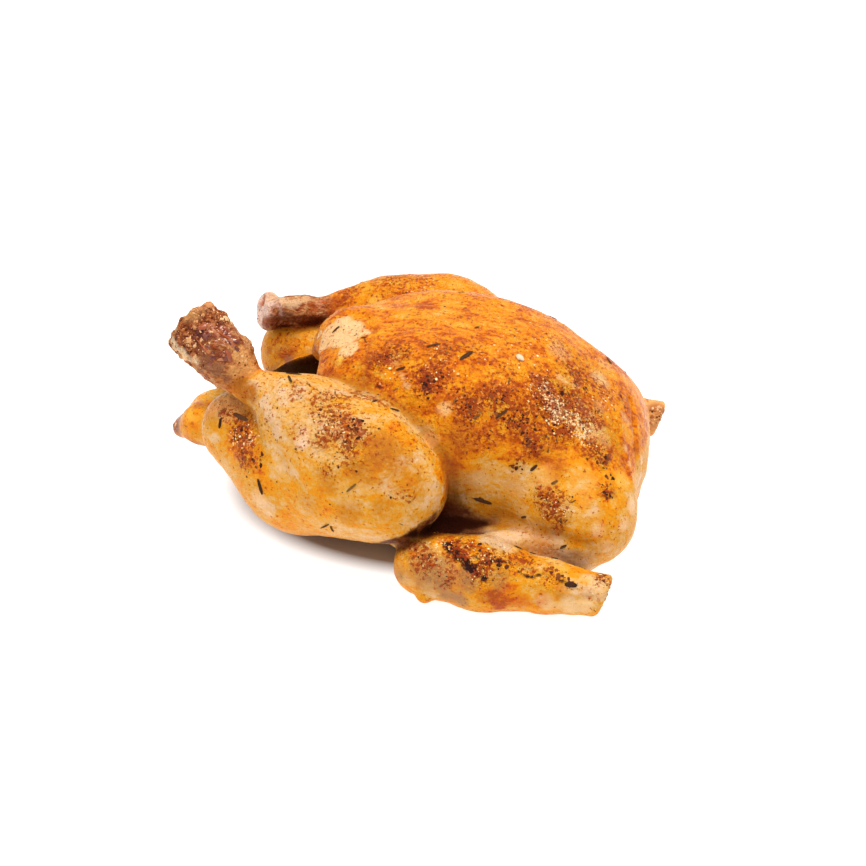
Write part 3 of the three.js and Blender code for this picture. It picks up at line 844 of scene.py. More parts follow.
# %% Browned and charred skin
# Places in millimetres on the seen side, as everywhere below.
BROWN = [
    # each x, y, z, radius and strength
    (24, -47, 88, 9.5, 0.8), (30, -50, 85, 7.6, 0.8), (24, -50, 85, 5.2, 1), (33, -44, 90, 5.7, 0.6),
    (16, -44, 90, 3.8, 0.5), (38, -50, 84, 3.3, 0.8), (-4, -43, 87, 3.3, 0.6), (2, -51, 82, 4.3, 0.8),
    (5, -51, 82, 3.8, 0.9), (9, -54, 80, 3.8, 0.8), (-7, -47, 83, 1.9, 0.8), (31, -28, 95, 2.4, 0.9),
    (12, 14, 96, 6.6, 0.4), (26, 18, 97, 5.7, 0.45), (40, 20, 95, 3.8, 0.6), (53, 16, 93, 4.8, 0.5),
    (76, 19, 83, 3.8, 0.5), (87, 24, 74, 3.8, 0.5), (100, 22, 65, 2.8, 0.5), (45, -52, 79, 5.2, 0.7),
    (43, -54, 77, 3.8, 0.8), (53, -50, 78, 2.8, 0.51), (58, -47, 80, 2.8, 0.77), (66, -45, 78, 2.4, 0.85),
    (64, -49, 74, 2.4, 0.68), (68, -48, 72, 2.8, 0.68), (71, -49, 69, 2.8, 0.59), (78, -44, 71, 2.4, 0.68),
    (80, -30, 78, 2.8, 0.68), (86, -30, 74, 1.9, 0.85), (86, -5, 77, 2.8, 0.77), (91, -12, 73, 3.3, 0.68),
    (95, -19, 69, 1.9, 0.68), (81, -5, 81, 2.4, 0.68), (62, -12, 91, 1.9, 0.7), (74, -52, 63, 3.8, 0.85),
    (70, -52, 65, 2.4, 0.68), (69, -57, 54, 2.8, 0.77), (74, -54, 59, 2.8, 0.68), (97, -46, 57, 2.4, 0.59),
    (103, -42, 55, 3.3, 0.77), (106, -53, 46, 1.9, 0.8), (107, -56, 43, 1.9, 0.9), (50, -56, 69, 3.8, 0.34),
    (55, -58, 61, 3.8, 0.42), (58, -52, 75, 2.8, 0.42), (64, -56, 59, 2.4, 0.42), (46, -49, 82, 2.8, 0.4),
    (103, 0, 64, 2.8, 0.7), (112, -16, 50, 1.9, 0.8), (86, -64, 41, 3.8, 0.75), (81, -62, 42, 3.8, 0.5),
    (89, -66, 38, 2.8, 0.5), (87, -67, 33, 3.3, 0.3), (100, -60, 44, 1.9, 0.7), (-5, -81, 76, 4.8, 0.5),
    (1, -79, 76, 2.4, 0.8), (-2, -84, 73, 3.8, 0.5), (-10, -86, 71, 2.8, 0.5), (-12, -75, 79, 3.8, 0.4),
    (-12, -85, 72, 1.9, 0.7), (9, -84, 69, 4.8, 0.45), (4, -89, 67, 3.8, 0.4), (25, -87, 52, 3.3, 0.5),
    (-4, -69, 80, 4.8, 0.25), (-21, -75, 80, 3.8, 0.2), (-60, -67, 58, 4.8, 0.6), (-50, -75, 59, 3.8, 0.9),
    (-52, -73, 60, 2.8, 0.8), (-55, -75, 51, 5.7, 0.6), (-46, -81, 53, 3.8, 0.7), (-43, -83, 49, 2.8, 0.6),
    (-62, -62, 74, 4.8, 0.25), (-45, 48, 80, 2.8, 0.7), (-39, 42, 80, 3.8, 0.7), (-47, 43, 77, 3.8, 0.6),
    (-54, 40, 75, 3.8, 0.6), (-25, 47, 86, 2.4, 0.7), (-8, 57, 87, 2.4, 0.7), (-7, 48, 86, 4.8, 0.5),
    (-18, 47, 87, 3.8, 0.4), (47, -85, 27, 4.8, 0.9), (54, -92, 25, 3.8, 1), (51, -90, 26, 3.8, 1),
    (44, -81, 28, 3.8, 0.8), (54, -85, 28, 3.8, 0.8), (60, -84, 29, 2.8, 0.6), (68, -89, 26, 2.4, 0.9),
    (65, -92, 25, 2.4, 0.9), (61, -96, 22, 2.8, 1), (64, -96, 20, 2.4, 0.9), (79, -90, 23, 2.4, 0.9),
    (82, -90, 22, 1.9, 0.9), (88, -90, 22, 1.9, 0.8), (99, -90, 20, 2.4, 1), (76, -95, 17, 2.8, 0.7),
    (70, -97, 10, 4.3, 0.5), (38, -92, 22, 3.8, 0.7), (36, -94, 20, 3.3, 0.6), (30, -88, 25, 3.8, 0.5),
    (40, -84, 27, 3.8, 0.7), (24, -90, 20, 2.4, 0.5), (111, -82, 21, 2.4, 0.6), (-105, -7, 36, 2.4, 0.8),
    (-118, -7, 21, 2.4, 0.6), (-107, -16, 21, 2.8, 0.5), (101, 87, 21, 2.8, 0.5), (111, 30, 42, 2.4, 0.5),
    (102, 6, 65, 2.8, 0.5), (106, -1, 60, 2.8, 0.5), (75, -39, 77, 2.8, 0.59), (72, -43, 75, 2.4, 0.51),
    (90, -21, 73, 2.8, 0.59), (78, -40, 74, 2.4, 0.51),
]
CHAR = [
    (24, -50, 85, 3.8, 0.9), (26, -52, 83, 2.4, 0.7), (66, -44, 78, 1.7, 0.8), (74, -52, 63, 2.4, 0.9),
    (68, -57, 54, 1.7, 1), (71, -56, 55, 1.2, 0.8), (103, -43, 54, 1.7, 1), (81, -33, 76, 1.4, 0.8),
    (86, -30, 74, 1.2, 0.8), (107, -56, 43, 1.2, 0.9), (58, -46, 80, 1.7, 0.7), (87, -6, 76, 1.7, 0.6),
    (87, -64, 40, 1.9, 0.8), (52, -59, 36, 2.4, 0.9), (1, -80, 76, 1.4, 0.9), (-51, -74, 59, 1.9, 0.8),
    (-12, -85, 72, 1.2, 0.8), (53, -92, 25, 1.9, 0.9), (55, -93, 25, 1.9, 0.9), (68, -90, 25, 1.7, 0.9),
    (65, -92, 25, 1.4, 0.9), (60, -96, 22, 1.4, 0.9), (64, -96, 20, 1.4, 0.9), (100, -90, 19, 2.1, 1),
    (39, -94, 20, 1.9, 0.5), (46, -86, 27, 2.4, 0.7), (112, -16, 50, 1.4, 0.8), (9, -54, 80, 1.9, 0.6),
    (38, -50, 84, 1.9, 0.7), (39, -53, 80, 0.9, 0.9), (26, -56, 77, 1.2, 0.9), (52, -87, 28, 1.4, 0.7),
    (75, -39, 77, 1.4, 0.7), (78, -40, 74, 1.2, 0.7), (90, -21, 73, 1.4, 0.7), (82, -41, 71, 1.2, 0.7),
    (75, -48, 68, 1.2, 0.8), (-51, -73, 59, 1.4, 0.9), (-4, -82, 75, 1.4, 0.8), (-10, -75, 79, 1.2, 0.7),
    (25, -49, 86, 5.2, 0.5),
]
BURNT_STREAKS = [
    # places along each streak, then its radius and strength
    ([(43, -86, 27), (48, -89, 26), (53, -93, 24), (57, -95, 22)], 3.2, 0.85),
    ([(58, -95, 23), (62, -93, 25), (68, -90, 26), (72, -89, 25)], 2.0, 0.8),
    ([(58, -96, 22), (63, -97, 20), (66, -97, 18)], 2.0, 0.75),
    ([(46, -81, 28), (51, -85, 28), (55, -89, 27)], 2.2, 0.6),
    ([(64, -84, 28), (69, -85, 26), (75, -86, 25)], 1.6, 0.5),
    ([(77, -91, 22), (82, -92, 21), (87, -90, 22)], 1.8, 0.7),
    ([(93, -90, 21), (97, -90, 20), (100, -90, 19)], 1.6, 0.7),
]
brown = dabs(BROWN, 1.5)
char = dabs(CHAR, 1)
for line, radius, strength in BURNT_STREAKS:
    streak = strength * np.clip(1 - (stroke_distance(line, points + 1.2 * warp) / radius) ** 2, 0, 1)
    char = 1 - (1 - char) * (1 - np.clip(streak, 0, 1))
print("browned points", int(brown.sum()), "charred", int(char.sum()))

# %% Where the spice lies
SPICED = [
    (-57, -68, 60, 10.4, 1), (-52, -77, 52, 9.5, 1), (-68, -60, 62, 5.7, 0.8), (-28, -68, 83, 6.6, 0.5),
    (-14, -70, 81, 11.4, 0.6), (-4, -59, 80, 8.5, 0.6), (-5, -81, 76, 11.4, 0.9), (-12, -86, 70, 5.7, 0.8),
    (2, -83, 73, 8.5, 0.8), (6, -59, 79, 6.6, 0.5), (-23, -83, 72, 7.6, 0.3), (-6, -93, 60, 6.6, 0.5),
    (2, -90, 67, 6.6, 0.6), (24, -89, 50, 7.6, 0.5), (25, -47, 88, 12.3, 0.7), (8, -37, 93, 9.5, 0.6),
    (0, -42, 89, 7.6, 0.7), (26, -35, 94, 9.5, 0.5), (45, -52, 79, 10.4, 0.8), (57, -47, 80, 10.4, 0.8),
    (51, -58, 65, 12.3, 0.45), (66, -49, 73, 10.4, 0.9), (75, -37, 78, 11.4, 0.9), (84, -29, 75, 12.3, 1),
    (94, -31, 68, 9.5, 1), (83, -44, 68, 10.4, 0.8), (74, -52, 63, 7.6, 1), (103, -42, 55, 5.7, 1),
    (97, -43, 59, 7.6, 0.9), (83, -11, 79, 9.5, 0.8), (71, -30, 84, 7.6, 0.8), (106, -53, 46, 4.8, 0.8),
    (94, -7, 71, 8.5, 0.6), (102, -2, 64, 6.6, 0.5), (68, -56, 57, 5.7, 0.7), (86, -64, 41, 9.5, 0.9),
    (81, -63, 42, 8.5, 0.7), (89, -67, 34, 5.7, 0.7), (54, -36, 89, 9.5, 0.3), (39, -30, 94, 9.5, 0.35),
    (14, -10, 97, 11.4, 0.15), (57, -10, 92, 9.5, 0.2), (73, -1, 88, 9.5, 0.3), (50, -88, 27, 9.5, 0.9),
    (36, -93, 22, 9.5, 0.9), (30, -89, 25, 7.6, 0.8), (64, -91, 26, 8.5, 0.9), (76, -86, 25, 9.5, 0.7),
    (90, -88, 23, 8.5, 0.6), (46, -96, 18, 6.6, 0.8), (61, -96, 21, 6.6, 0.7), (112, -84, 21, 4.8, 0.7),
    (75, -70, 27, 8.5, 0.2), (85, -74, 23, 5.7, 0.4), (-19, 52, 88, 19, 0.4), (-43, 47, 80, 9.5, 0.4),
    (-72, 28, 56, 11.4, 0.35),
]
everywhere = 0.06 + 0.2 * step(56, 70, points[:, 2])
spice = (dabs(SPICED) + everywhere) * step(-0.6, -0.2, normals[:, 2])
spice *= 1 - np.maximum(bare_left, 0.8 * bare_right)
print("spiced points", int(spice.sum()))

# %% Where pale granules and painted glints lie
PALE_GRAINS_AND_GLINTS = [
    (81, -38, 73, 9, 1), (88, -37, 69, 9, 1), (93, -39, 65, 8, 1), (76, -35, 77, 9, 0.9),
    (70, -32, 81, 8, 0.7), (66, -38, 81, 7, 0.6), (-50, -75, 59, 7, 0.6), (-56, -71, 58, 10, 0.6),
    (38, -90, 24, 8, 0.5), (41, -84, 27, 5, 0.6), (86, -64, 41, 7, 0.5), (-6, -80, 76, 14, 0.3),
    (30, -40, 91, 14, 0.25), (60, -20, 91, 22, 0.2), (95, -15, 68, 10, 0.3), (60, -90, 27, 16, 0.4),
    (6, -45, 86, 9, 0.3), (-4, 52, 87, 14, 0.3),
]
glitter = dabs(PALE_GRAINS_AND_GLINTS)
print("glittering points", int(glitter.sum()))

# %% [markdown]
# Some places have colours of their own: bare breast meat, fat, sinew and dark meat at the joints. They are
# dabs of named colours, laid one over the other as a `tint`. Some dabs are painted shade, dark brown in
# the gaps beneath the drumstick and beneath the far shank, and a few bright orange ones are painted light,
# on shaded parts of the thigh and drumstick. The black inside of the cavity is painted shade as well, laid
# with the masks below.

# %% Tints
PALETTE = {
    "cream": (0.80, 0.50, 0.23), "butter": (0.86, 0.45, 0.06), "blush": (0.80, 0.46, 0.22),
    "peach": (0.82, 0.53, 0.29), "straw": (0.84, 0.60, 0.28), "fat": (0.68, 0.42, 0.17),
    "tan": (0.60, 0.27, 0.09), "sand": (0.66, 0.34, 0.11), "ash": (0.50, 0.25, 0.10),
    "amber": (0.80, 0.30, 0.018), "olive": (0.50, 0.18, 0.03), "bone": (1.0, 0.72, 0.60),
    "salmon": (0.62, 0.20, 0.11), "ember": (0.58, 0.09, 0.012), "rust": (0.40, 0.075, 0.01),
    "blood": (0.18, 0.03, 0.008), "umber": (0.11, 0.02, 0.004), "mauve": (0.30, 0.12, 0.07),
    "heel": (0.98, 0.74, 0.46), "liver": (0.19, 0.04, 0.015), "brick": (0.34, 0.08, 0.03),
    "dusk": (0.27, 0.10, 0.045), "neck": (0.80, 0.38, 0.12), "glow": (0.95, 0.42, 0.12),
    "apricot": (0.62, 0.24, 0.09), "ochre": (0.44, 0.14, 0.012), "dun": (0.40, 0.19, 0.07),
    "plum": (0.10, 0.025, 0.03),
}
TINTS = [
    # each colour and its dabs
    # dun tans the forearm; its two dabs lowest on the forearm, about 8 mm high, are painted shade on its
    # underside
    ("dun", (39, -95, 18, 12.3, 0.9), (53, -97, 18, 8.5, 0.6), (25, -93, 13, 5.7, 0.7),
        (44, -96, 14, 5.7, 0.8), (47, -97, 8.5, 5, 1.2), (53, -98, 8, 5, 1.2)),
    ("ochre", (42, -60, 65, 10.4, 0.6), (76, -52, 61, 8.5, 0.4), (47, -61, 46, 8.5, 0.6),
        (89, -67, 35, 5.7, 0.6), (13, -83, 68, 10.4, 0.85), (7, -92, 61, 8.5, 0.75), (-6, -95, 56, 7.6, 0.5),
        (3, -95, 42, 8.5, 0.5), (-16, -92, 43, 7.6, 0.35), (18, -92, 45, 6.6, 0.5), (57, -96, 20, 6.6, 0.5),
        (19, -85, 61, 14.2, 0.6), (28, -84, 53, 8.5, 0.4), (-53, -64, 76, 5, 1.3)),
    ("cream", (-23, -20, 89, 10, 3), (-32, -16, 87, 6.6, 3), (-17, -32, 88, 5.7, 3), (-33, -21, 83, 3.8, 2),
        (-16, -19, 91, 4.8, 2), (-27, -12, 91, 5.7, 3), (-39, -12, 83, 2.8, 2), (-12, -22, 92, 1.9, 2),
        (15, -51, 83, 2.5, 0.83), (13, -48, 86, 2.5, 0.66), (35, -55, 77, 3.7, 0.66),
        (33, -56, 76, 3.7, 0.5), (109, -26, 52, 3.1, 0.66), (112, -30, 47, 3.1, 0.72),
        (115, -35, 41, 3.1, 0.5), (107, -85, 21, 3.7, 0.77)),
    ("butter", (-20, -37, 84, 3.8, 1), (-28, 38, 82, 4.8, 0.7), (28, -9, 96, 3.7, 0.5),
        (52, 7, 93, 2.8, 0.5), (-29, 50, 86, 3.3, 0.6), (8, 56, 86, 4.9, 0.44), (97, -78, 21, 3.7, 0.5),
        (88, -80, 24, 2.8, 0.7), (72, -79, 25, 2.4, 0.7), (111, -43, 46, 5.7, 0.5), (94, -84, 23, 4.3, 0.6)),
    ("tan", (7, -42, 90, 3.8, 0.7), (110, 30, 46, 3.3, 0.8), (-82, -58, 108, 5.2, 1.3),
        (-78, -52, 109, 3.8, 1.2), (-88, -46, 108, 8, 1.4)),
    ("bone", (-21, -85, 69, 4.8, 0.4)),
    ("straw", (24, -64, 68, 3.3, 0.5), (88, -28, 73, 3.7, 0.5), (93, -29, 69, 4.9, 0.55),
        (97, -32, 65, 4.3, 0.55), (84, -18, 77, 3.8, 0.6), (78, -20, 81, 3.8, 0.5), (77, -35, 77, 2.8, 0.4),
        (92, 0, 72, 6.6, 0.4), (106, -11, 59, 4.8, 0.4), (18, -63, 73, 4.3, 0.3), (100, -36, 61, 6.2, 0.3),
        (91, 16, 72, 5.7, 0.35), (74, -5, 87, 7.6, 0.35), (91, 1, 73, 6.6, 0.4), (95, -36, 65, 4.8, 0.4),
        (96, -21, 68, 4.8, 0.3)),
    ("amber", (-99, -3, 37, 3.8, 0.5), (-101, -18, 33, 3.8, 1.2), (-106, -19, 28, 2.8, 0.8),
        (30, -63, 65, 3.8, 0.8), (33, -67, 60, 3.3, 0.6), (13, -4, 97, 6.6, 0.4), (-7, 15, 94, 6.6, 0.3)),
    ("sand", (80, -58, 51, 6.6, 0.5), (67, -58, 45, 6.6, 0.6), (52, -60, 48, 4.8, 0.5),
        (-89, -60, 102, 3.8, 1.2)),
    ("peach", (106, -64, 32, 4.8, 0.5), (115, -13, 41, 2.8, 0.9), (115, -15, 32, 3.8, 0.9),
        (117, -45, 36, 4.8, 0.9), (116, -55, 31, 4.8, 0.8), (110, -62, 23, 3.8, 0.5),
        (-106, 4, 36, 2.8, 0.9), (-43, -84, 35, 5.7, 0.7), (-40, -83, 27, 4.8, 0.5)),
    ("salmon", (111, -10, 54, 1.7, 1.6), (-105, -7, 36, 1.9, 1.6), (-115, -7, 16, 2.4, 1.2)),
    ("fat", (73, -72, 26, 3.8, 1), (29, -95, 12, 4.3, 0.7)),
    ("ash", (97, -70, 21, 3.3, 0.9), (60, -74, 28, 3.3, 0.6), (108, -91, 16, 3.8, 0.6)),
    ("olive", (96, -93, 16, 4.3, 0.7), (-77, 27, 54, 3.8, 0.8)),
    ("cream", (111, -87, 20, 3.7, 0.66), (91, -95, 11, 5.2, 0.9), (99, -93, 10, 5.2, 0.9),
        (106, -92, 11, 4.8, 0.8)),
    ("fat", (114, -88, 16, 2.8, 1)),
    # painted shade: dark dabs beneath the far shank, in the gap under the drumstick and along its lower edge
    ("umber", (-74, 29, 72, 4.3, 2), (-70, 32, 69, 4.3, 2), (-65, 34, 68, 4.3, 2), (-60, 37, 67, 4.3, 1.6),
        (-55, 39, 68, 3.8, 1.2), (41, -61, 26, 9, 1.8), (50, -60, 24, 7, 1.2), (58, -58, 23, 6, 0.8),
        (33, -62, 27, 9, 1.8), (12, -84, 19.5, 5, 1.3), (18.5, -86, 23, 5, 1.8), (23.5, -86.5, 26, 5, 1.8),
        (28.5, -86, 30, 4.6, 1.6), (32.5, -82.5, 32, 4.4, 1.6), (36, -78, 34, 4, 1.2)),
    ("peach", (-69, 35, 76, 3.8, 1.8), (-74, 35, 77, 3.8, 1.8)),
    ("blush", (-65, 39, 78, 3.8, 1.6)),
    ("rust", (-60, 37, 74, 2.8, 1.3), (-71, 25, 53, 5.7, 1.2), (-82, 29, 51, 3.3, 0.8),
        (-5, -42, 88, 4.8, 0.8), (-4, -48, 83, 4.8, 0.8), (-6, -33, 92, 3.8, 0.6), (65, -98, 12, 4.3, 0.7),
        (-6, -37, 90, 3.8, 0.6), (113, -16, 47, 3.8, 0.5), (39, -64, 52, 7, 0.8), (38, -66, 43, 7, 0.8),
        (-105, -18, 15, 9, 1)),
    ("salmon", (-57, 40, 76, 3.8, 0.9)),
    ("rust", (-51, 39, 74, 3.8, 1.3), (-47, 41, 76, 3.3, 1.2), (-44, 43, 79, 2.8, 1)),
    ("amber", (-64, 33, 60, 4.3, 0.6)),
    ("mauve", (-69, 22, 50, 4.3, 1.5), (-76, 50, 68, 6, 1)),
    ("heel", (-91, -61, 94, 4.8, 2), (-86, -62, 90, 4.8, 2), (-80, -65, 89, 3.3, 1.8)),
    # the second and third liver dabs are painted shade along the forearm's top edge; the first is the
    # shank's dark meat
    ("liver", (-81, -61, 104, 3.8, 0.7), (50.5, -71.5, 26.5, 3.4, 1.6), (55, -71.7, 27, 3.4, 1.6)),
    ("plum", (-77, -63, 100, 4.3, 1.6)),
    ("liver", (-76, -64, 95, 3.8, 1.2)),
    ("brick", (-68, -57, 100, 5.7, 1.4), (-103, -10, 37, 4.3, 0.7), (114, -4, 47, 3.3, 0.5)),
    ("liver", (-68, -63, 94, 4.8, 1.6)),
    ("brick", (-64, -59, 96, 4.3, 1)),
    ("dusk", (-74, -65, 89, 4.3, 1.6), (-68, -66, 87, 4.3, 1.6), (-64, -65, 83, 3.3, 1.2),
        (-77, -63, 84, 2.8, 1.2)),
    ("apricot", (-76, -55, 60, 5.7, 0.5)),
    ("sand", (102, -62, 40, 6.2, 0.4), (97, -56, 50, 8.5, 0.3)),
    ("ember", (79, -96, 9, 5.7, 0.7), (88, -95, 12, 4.3, 0.5), (74, -96, 16, 3.8, 0.5)),
    ("ochre", (70, -94, 21, 5.7, 0.5), (-70, 30, 58, 5.7, 0.5), (86, -55, 54, 5.7, 0.5),
        (85, -51, 59, 4.3, 0.35), (82, -70, 22, 10, 0.8)),
    ("amber", (68, -89, 26, 3.8, 0.3)),
    ("rust", (70, -97, 9, 6.2, 0.9)),
    ("neck", (-59, -58, 92, 6.2, 1.3), (-56, -58, 87, 5.7, 1.3), (-60, -64, 85, 4.3, 1),
        (-62, -59, 96, 3.8, 0.8), (108, 81, 16, 15, 1.2)),
    ("straw", (51, -60, 46, 5.7, 0.3)),
    ("butter", (-106, -16, 33, 3.8, 0.6)),
    # painted light: bright orange on the thigh under the leg's neck and at the drumstick's right end, where
    # they lie in shade
    ("glow", (-74, -56, 61, 5.7, 0.9), (30, -63, 65, 3.8, 0.9), (-66, -58, 65, 10, 1.3)),
    ("dun", (57, -98, 18, 5.7, 0.6), (70, -96, 19, 5.7, 0.4), (45, -94, 21, 5.7, 0.5)),
    ("bone", (-84, 33, 72, 11, 3)),
    ("blush", (-80, 33, 80, 6, 0.8)),
    ("umber", (-76, 26, 69, 5, 1.6)),
    ("brick", (-80, 27, 69, 5, 1.2), (109, 80, 21, 6, 1)),
    ("salmon", (-85, 35, 76, 3.8, 2)),
    ("tan", (108, 77, 12, 7, 1.2)),
    ("neck", (-112, -9, 28, 8, 0.7)),
    ("mauve", (-117, -6, 24, 9, 1.3), (-119, -2, 21, 8, 1.6), (111, 84, 14, 6, 1.2)),
    ("ochre", (-58, -63, 79, 5, 1.5), (-58, -62, 73, 5, 0.8)),
    ("blood", (-72, -42, 92, 9, 1.2)),
    ("mauve", (-80, -40, 94, 8, 1.2)),
    ("bone", (110, 80, 12, 4, 1)),
]


def laid_tints(canvas):
    laid = np.zeros((count, 4))
    for word, *places in TINTS:
        for *place, radius, strength in places:
            cover = np.clip(strength * nearness(canvas, place, radius, 2), 0, 1)[:, None]
            laid = laid * (1 - cover) + np.append(PALETTE[word], 1) * cover
    return laid


on_legs = np.maximum(bare_right, right_leg) * step(0, -30, points[:, 0])
tint = lerp(laid_tints(points), laid_tints(mirrored), (far_side * (1 - on_legs))[:, None])
tint_cover = tint[:, 3]
pure = np.concatenate([tint[:, :3] / np.maximum(tint_cover, 1e-3)[:, None], np.ones((count, 1))], 1)
attribute = skin.data.attributes.new("tint", "FLOAT_COLOR", "POINT")
attribute.data.foreach_set("color", pure.astype(np.float32).ravel())
print(len(TINTS), "runs of tints")

# %% Masks for the material
# Painted shade: the inside of the cavity and the deep clefts between limbs are painted nearly black, for the
# shade in them.
inside = (1 - step(0.8, 4, cavity(points - SHIFT))) * step(-112, -84, points[:, 0])
CLEFT_SHADE = [
    # each x, y, z, radius and strength
    (40, -66, 21, 6.5, 1), (36, -66, 24, 6.5, 1), (43, -63, 23, 6, 1), (48, -61, 23.5, 5.5, 1),
    (53, -60, 23.5, 4.5, 0.9), (34, -72, 25, 7, 1), (32, -79, 28, 5, 1), (28, -85, 29, 4, 1),
]
inside = np.maximum(inside, np.clip(1.6 * dabs(CLEFT_SHADE, 1), 0, 1))
# Painted shade is mostly kept off the drumstick, the thighs and the front.
open_to_light = 0.75 * left_leg + thighs + 0.6 * step(50, 70, points[:, 0])
MASKS = {
    "tint_cover": tint_cover,
    "gold": gold,
    "brown": brown,
    "char": char,
    "crease": crease,
    "spice": spice,
    "inside": inside,
    "shade": step(0.14, 0.42, shade) * np.clip(1 - open_to_light, 0, 1),
    "bare": np.maximum(bare_left, bare_right),
    "glitter": glitter,
    "cut_face": cut_face,
    "crisp": crisp,
}
for name, mask in MASKS.items():
    keep(skin.data, name, np.clip(mask, 0, 1))
print(len(MASKS), "masks")

# %% [markdown]
# ## The roasted skin's material
# Cooked skin runs from cream over golden orange to dark brown. The painted masks choose the tone, and
# noise at several scales breaks every edge, as fat and juice do. Paprika and pepper dust the skin finely
# where the spice lies. The skin is oily, but its gloss is broken up by tiny crinkles.

# %% Skin colour
skin_material = new_material("roasted_skin")
place = node("TexCoord").outputs["Object"]
along_bird = node("Mapping", Scale=(0.4, 1, 1), Rotation=(0, 0.15, 0.5), Vector=place).outputs[0]
blotches = noise_of(place, 11, 3, 0.4)
streaks = noise_of(along_bird, 4.5, 4, 0.8, 0.6)
flecks = noise_of(place, 3.6, 4, 0.3, 0.65)
grain = noise_of(place, 1.7, 3, 0.0, 0.6)
grit = noise_of(place, 1.15, 2, 0.2, 0.6)
dust = noise_of(place, 1.0, 1)

gold_mask = mask_of("gold")
uneven = total(centred(blotches, 0.8), centred(streaks, 1.35), centred(flecks, 0.65), centred(grain, 0.95))
uneven = times(uneven, maths("MULTIPLY_ADD", gold_mask, 0.7, 0.5))
colour = ramp(total(gold_mask, uneven), [
    (0.0, (0.72, 0.46, 0.25)),
    (0.22, (0.70, 0.375, 0.10)),
    (0.42, (0.70, 0.295, 0.014)),
    (0.60, (0.74, 0.25, 0.003)),
    (0.78, (0.66, 0.17, 0.002)),
    (1.0, (0.42, 0.065, 0.002)),
])

# Bare meat of the shanks: fibres from nearly black over red-brown and tan to cream.
along_shank = node("Mapping", Scale=(0.4, 1, 1), Rotation=(0, 0.85, 0), Vector=place).outputs[0]
fibres = noise_of(along_shank, 2.2, 4, 0.6, 0.65)
strands = mix(mask_of("cut_face"), fibres, grain)
# On the cut face the flesh is darker, a painted shade between the crumbs that lie on it.
shade_under_crumbs = maths("MULTIPLY_ADD", mask_of("cut_face"), -0.28, 0.5)
flesh = ramp(total(centred(strands, 2.2), centred(flecks, 1.0), shade_under_crumbs), [
    (0.0, (0.09, 0.018, 0.008)),
    (0.3, (0.34, 0.08, 0.022)),
    (0.55, (0.56, 0.22, 0.075)),
    (0.8, (0.70, 0.38, 0.16)),
    (1.0, (0.80, 0.56, 0.32)),
])
colour = mix(mask_of("bare"), colour, flesh)

tinted = mask_of("tint_cover")
cover = maths("MULTIPLY", tinted, total(centred(flecks, 1.6), centred(grain, 0.8), 1.0), clamp=True)
cover = times(cover, maths("MULTIPLY_ADD", mask_of("bare"), -0.2, 1.0))
colour = mix(cover, colour, node("Attribute", attribute_name="tint").outputs["Color"])
print("skin colour has", len(tree.nodes), "nodes")

# %% Browning and spice colour
spice_mask = mask_of("spice")
clusters = total(spice_mask, centred(blotches, 0.8))
fine = maths("MULTIPLY_ADD", spice_mask, 0.7, 0.12, clamp=True)
fine = times(fine, maths("MULTIPLY_ADD", tinted, -0.6, 1.0))
pits = times(rise(maths("SUBTRACT", 1, grit), 0.52, 0.68), fine)
freckles = rise(total(times(clusters, 0.2), flecks), 0.62, 0.74)
grains = times(rise(grit, 0.55, 0.68), fine)
toast = total(mask_of("brown"), centred(flecks, 1.6), centred(grain, 1.8))
burnt = total(mask_of("char"), centred(flecks, 1.0), centred(grain, 0.8))
# Pale granules, which also stand as painted glints on the crisp skin.
cream = total(mask_of("glitter"), centred(grit, 3.0))
paprika = rise(total(times(clusters, 0.2), grain), 0.64, 0.70)
pepper = rise(total(times(clusters, 0.17), dust), 0.78, 0.82)

LAYERS = [
    # where each layer lies, its strength and its colour
    # the crust, dark in its pits and pale on its grains, strongest where spice lies
    (pits, 0.8, (0.46, 0.10, 0.008)),
    (freckles, 0.6, (0.58, 0.13, 0.010)),
    (grains, 0.6, (0.86, 0.50, 0.14)),
    # toasted, scorched and burnt skin
    (rise(toast, 0.34, 0.74), 1, (0.56, 0.105, 0.008)),
    (rise(toast, 0.68, 1.08), 1, (0.12, 0.016, 0.005)),
    (rise(burnt, 0.35, 0.75), 1, (0.03, 0.008, 0.007)),
    # granules about a millimetre wide: cream dots, which are pale granules and painted glints, and red-brown
    # and nearly black spice
    (rise(cream, 0.75, 1.05), 0.8, (0.92, 0.74, 0.42)),
    (paprika, 0.85, (0.32, 0.045, 0.008)),
    (pepper, 1, (0.04, 0.010, 0.006)),
    # painted shade: brown in the creases, dark where a point is shut in, and nearly black inside the cavity
    # and the clefts
    (mask_of("crease"), 0.55, (0.30, 0.08, 0.008)),
    (mask_of("shade"), 0.93, (0.07, 0.012, 0.003)),
    (mask_of("inside"), 0.97, (0.024, 0.004, 0.001)),
]
for where, strength, layer in LAYERS:
    colour = mix(times(where, strength), colour, layer)
give(shader, Base_Color=colour)
print(len(LAYERS), "layers over the skin colour")

# %% Skin gloss and relief
gloss = maths("MAXIMUM", times(flecks, 0.6), mask_of("inside"))
give(shader, Roughness=gloss, Specular_IOR_Level=0.06, Subsurface_Weight=0.08)
give(shader, Subsurface_Radius=(1.0, 0.35, 0.1), Subsurface_Scale=1.5 * MM)
relief = total(times(flecks, 0.8), times(grain, 0.4), times(grit, 0.5))
rugged = maths("MAXIMUM", maths("MAXIMUM", mask_of("crisp"), spice_mask), mask_of("bare"))
bump(times(relief, maths("MULTIPLY_ADD", rugged, 0.8, 0.28)), 1.0, 3.0)
skin.data.materials.append(skin_material)
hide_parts("roast_chicken")
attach(skin, "root")
print("skin material has", len(tree.nodes), "nodes")

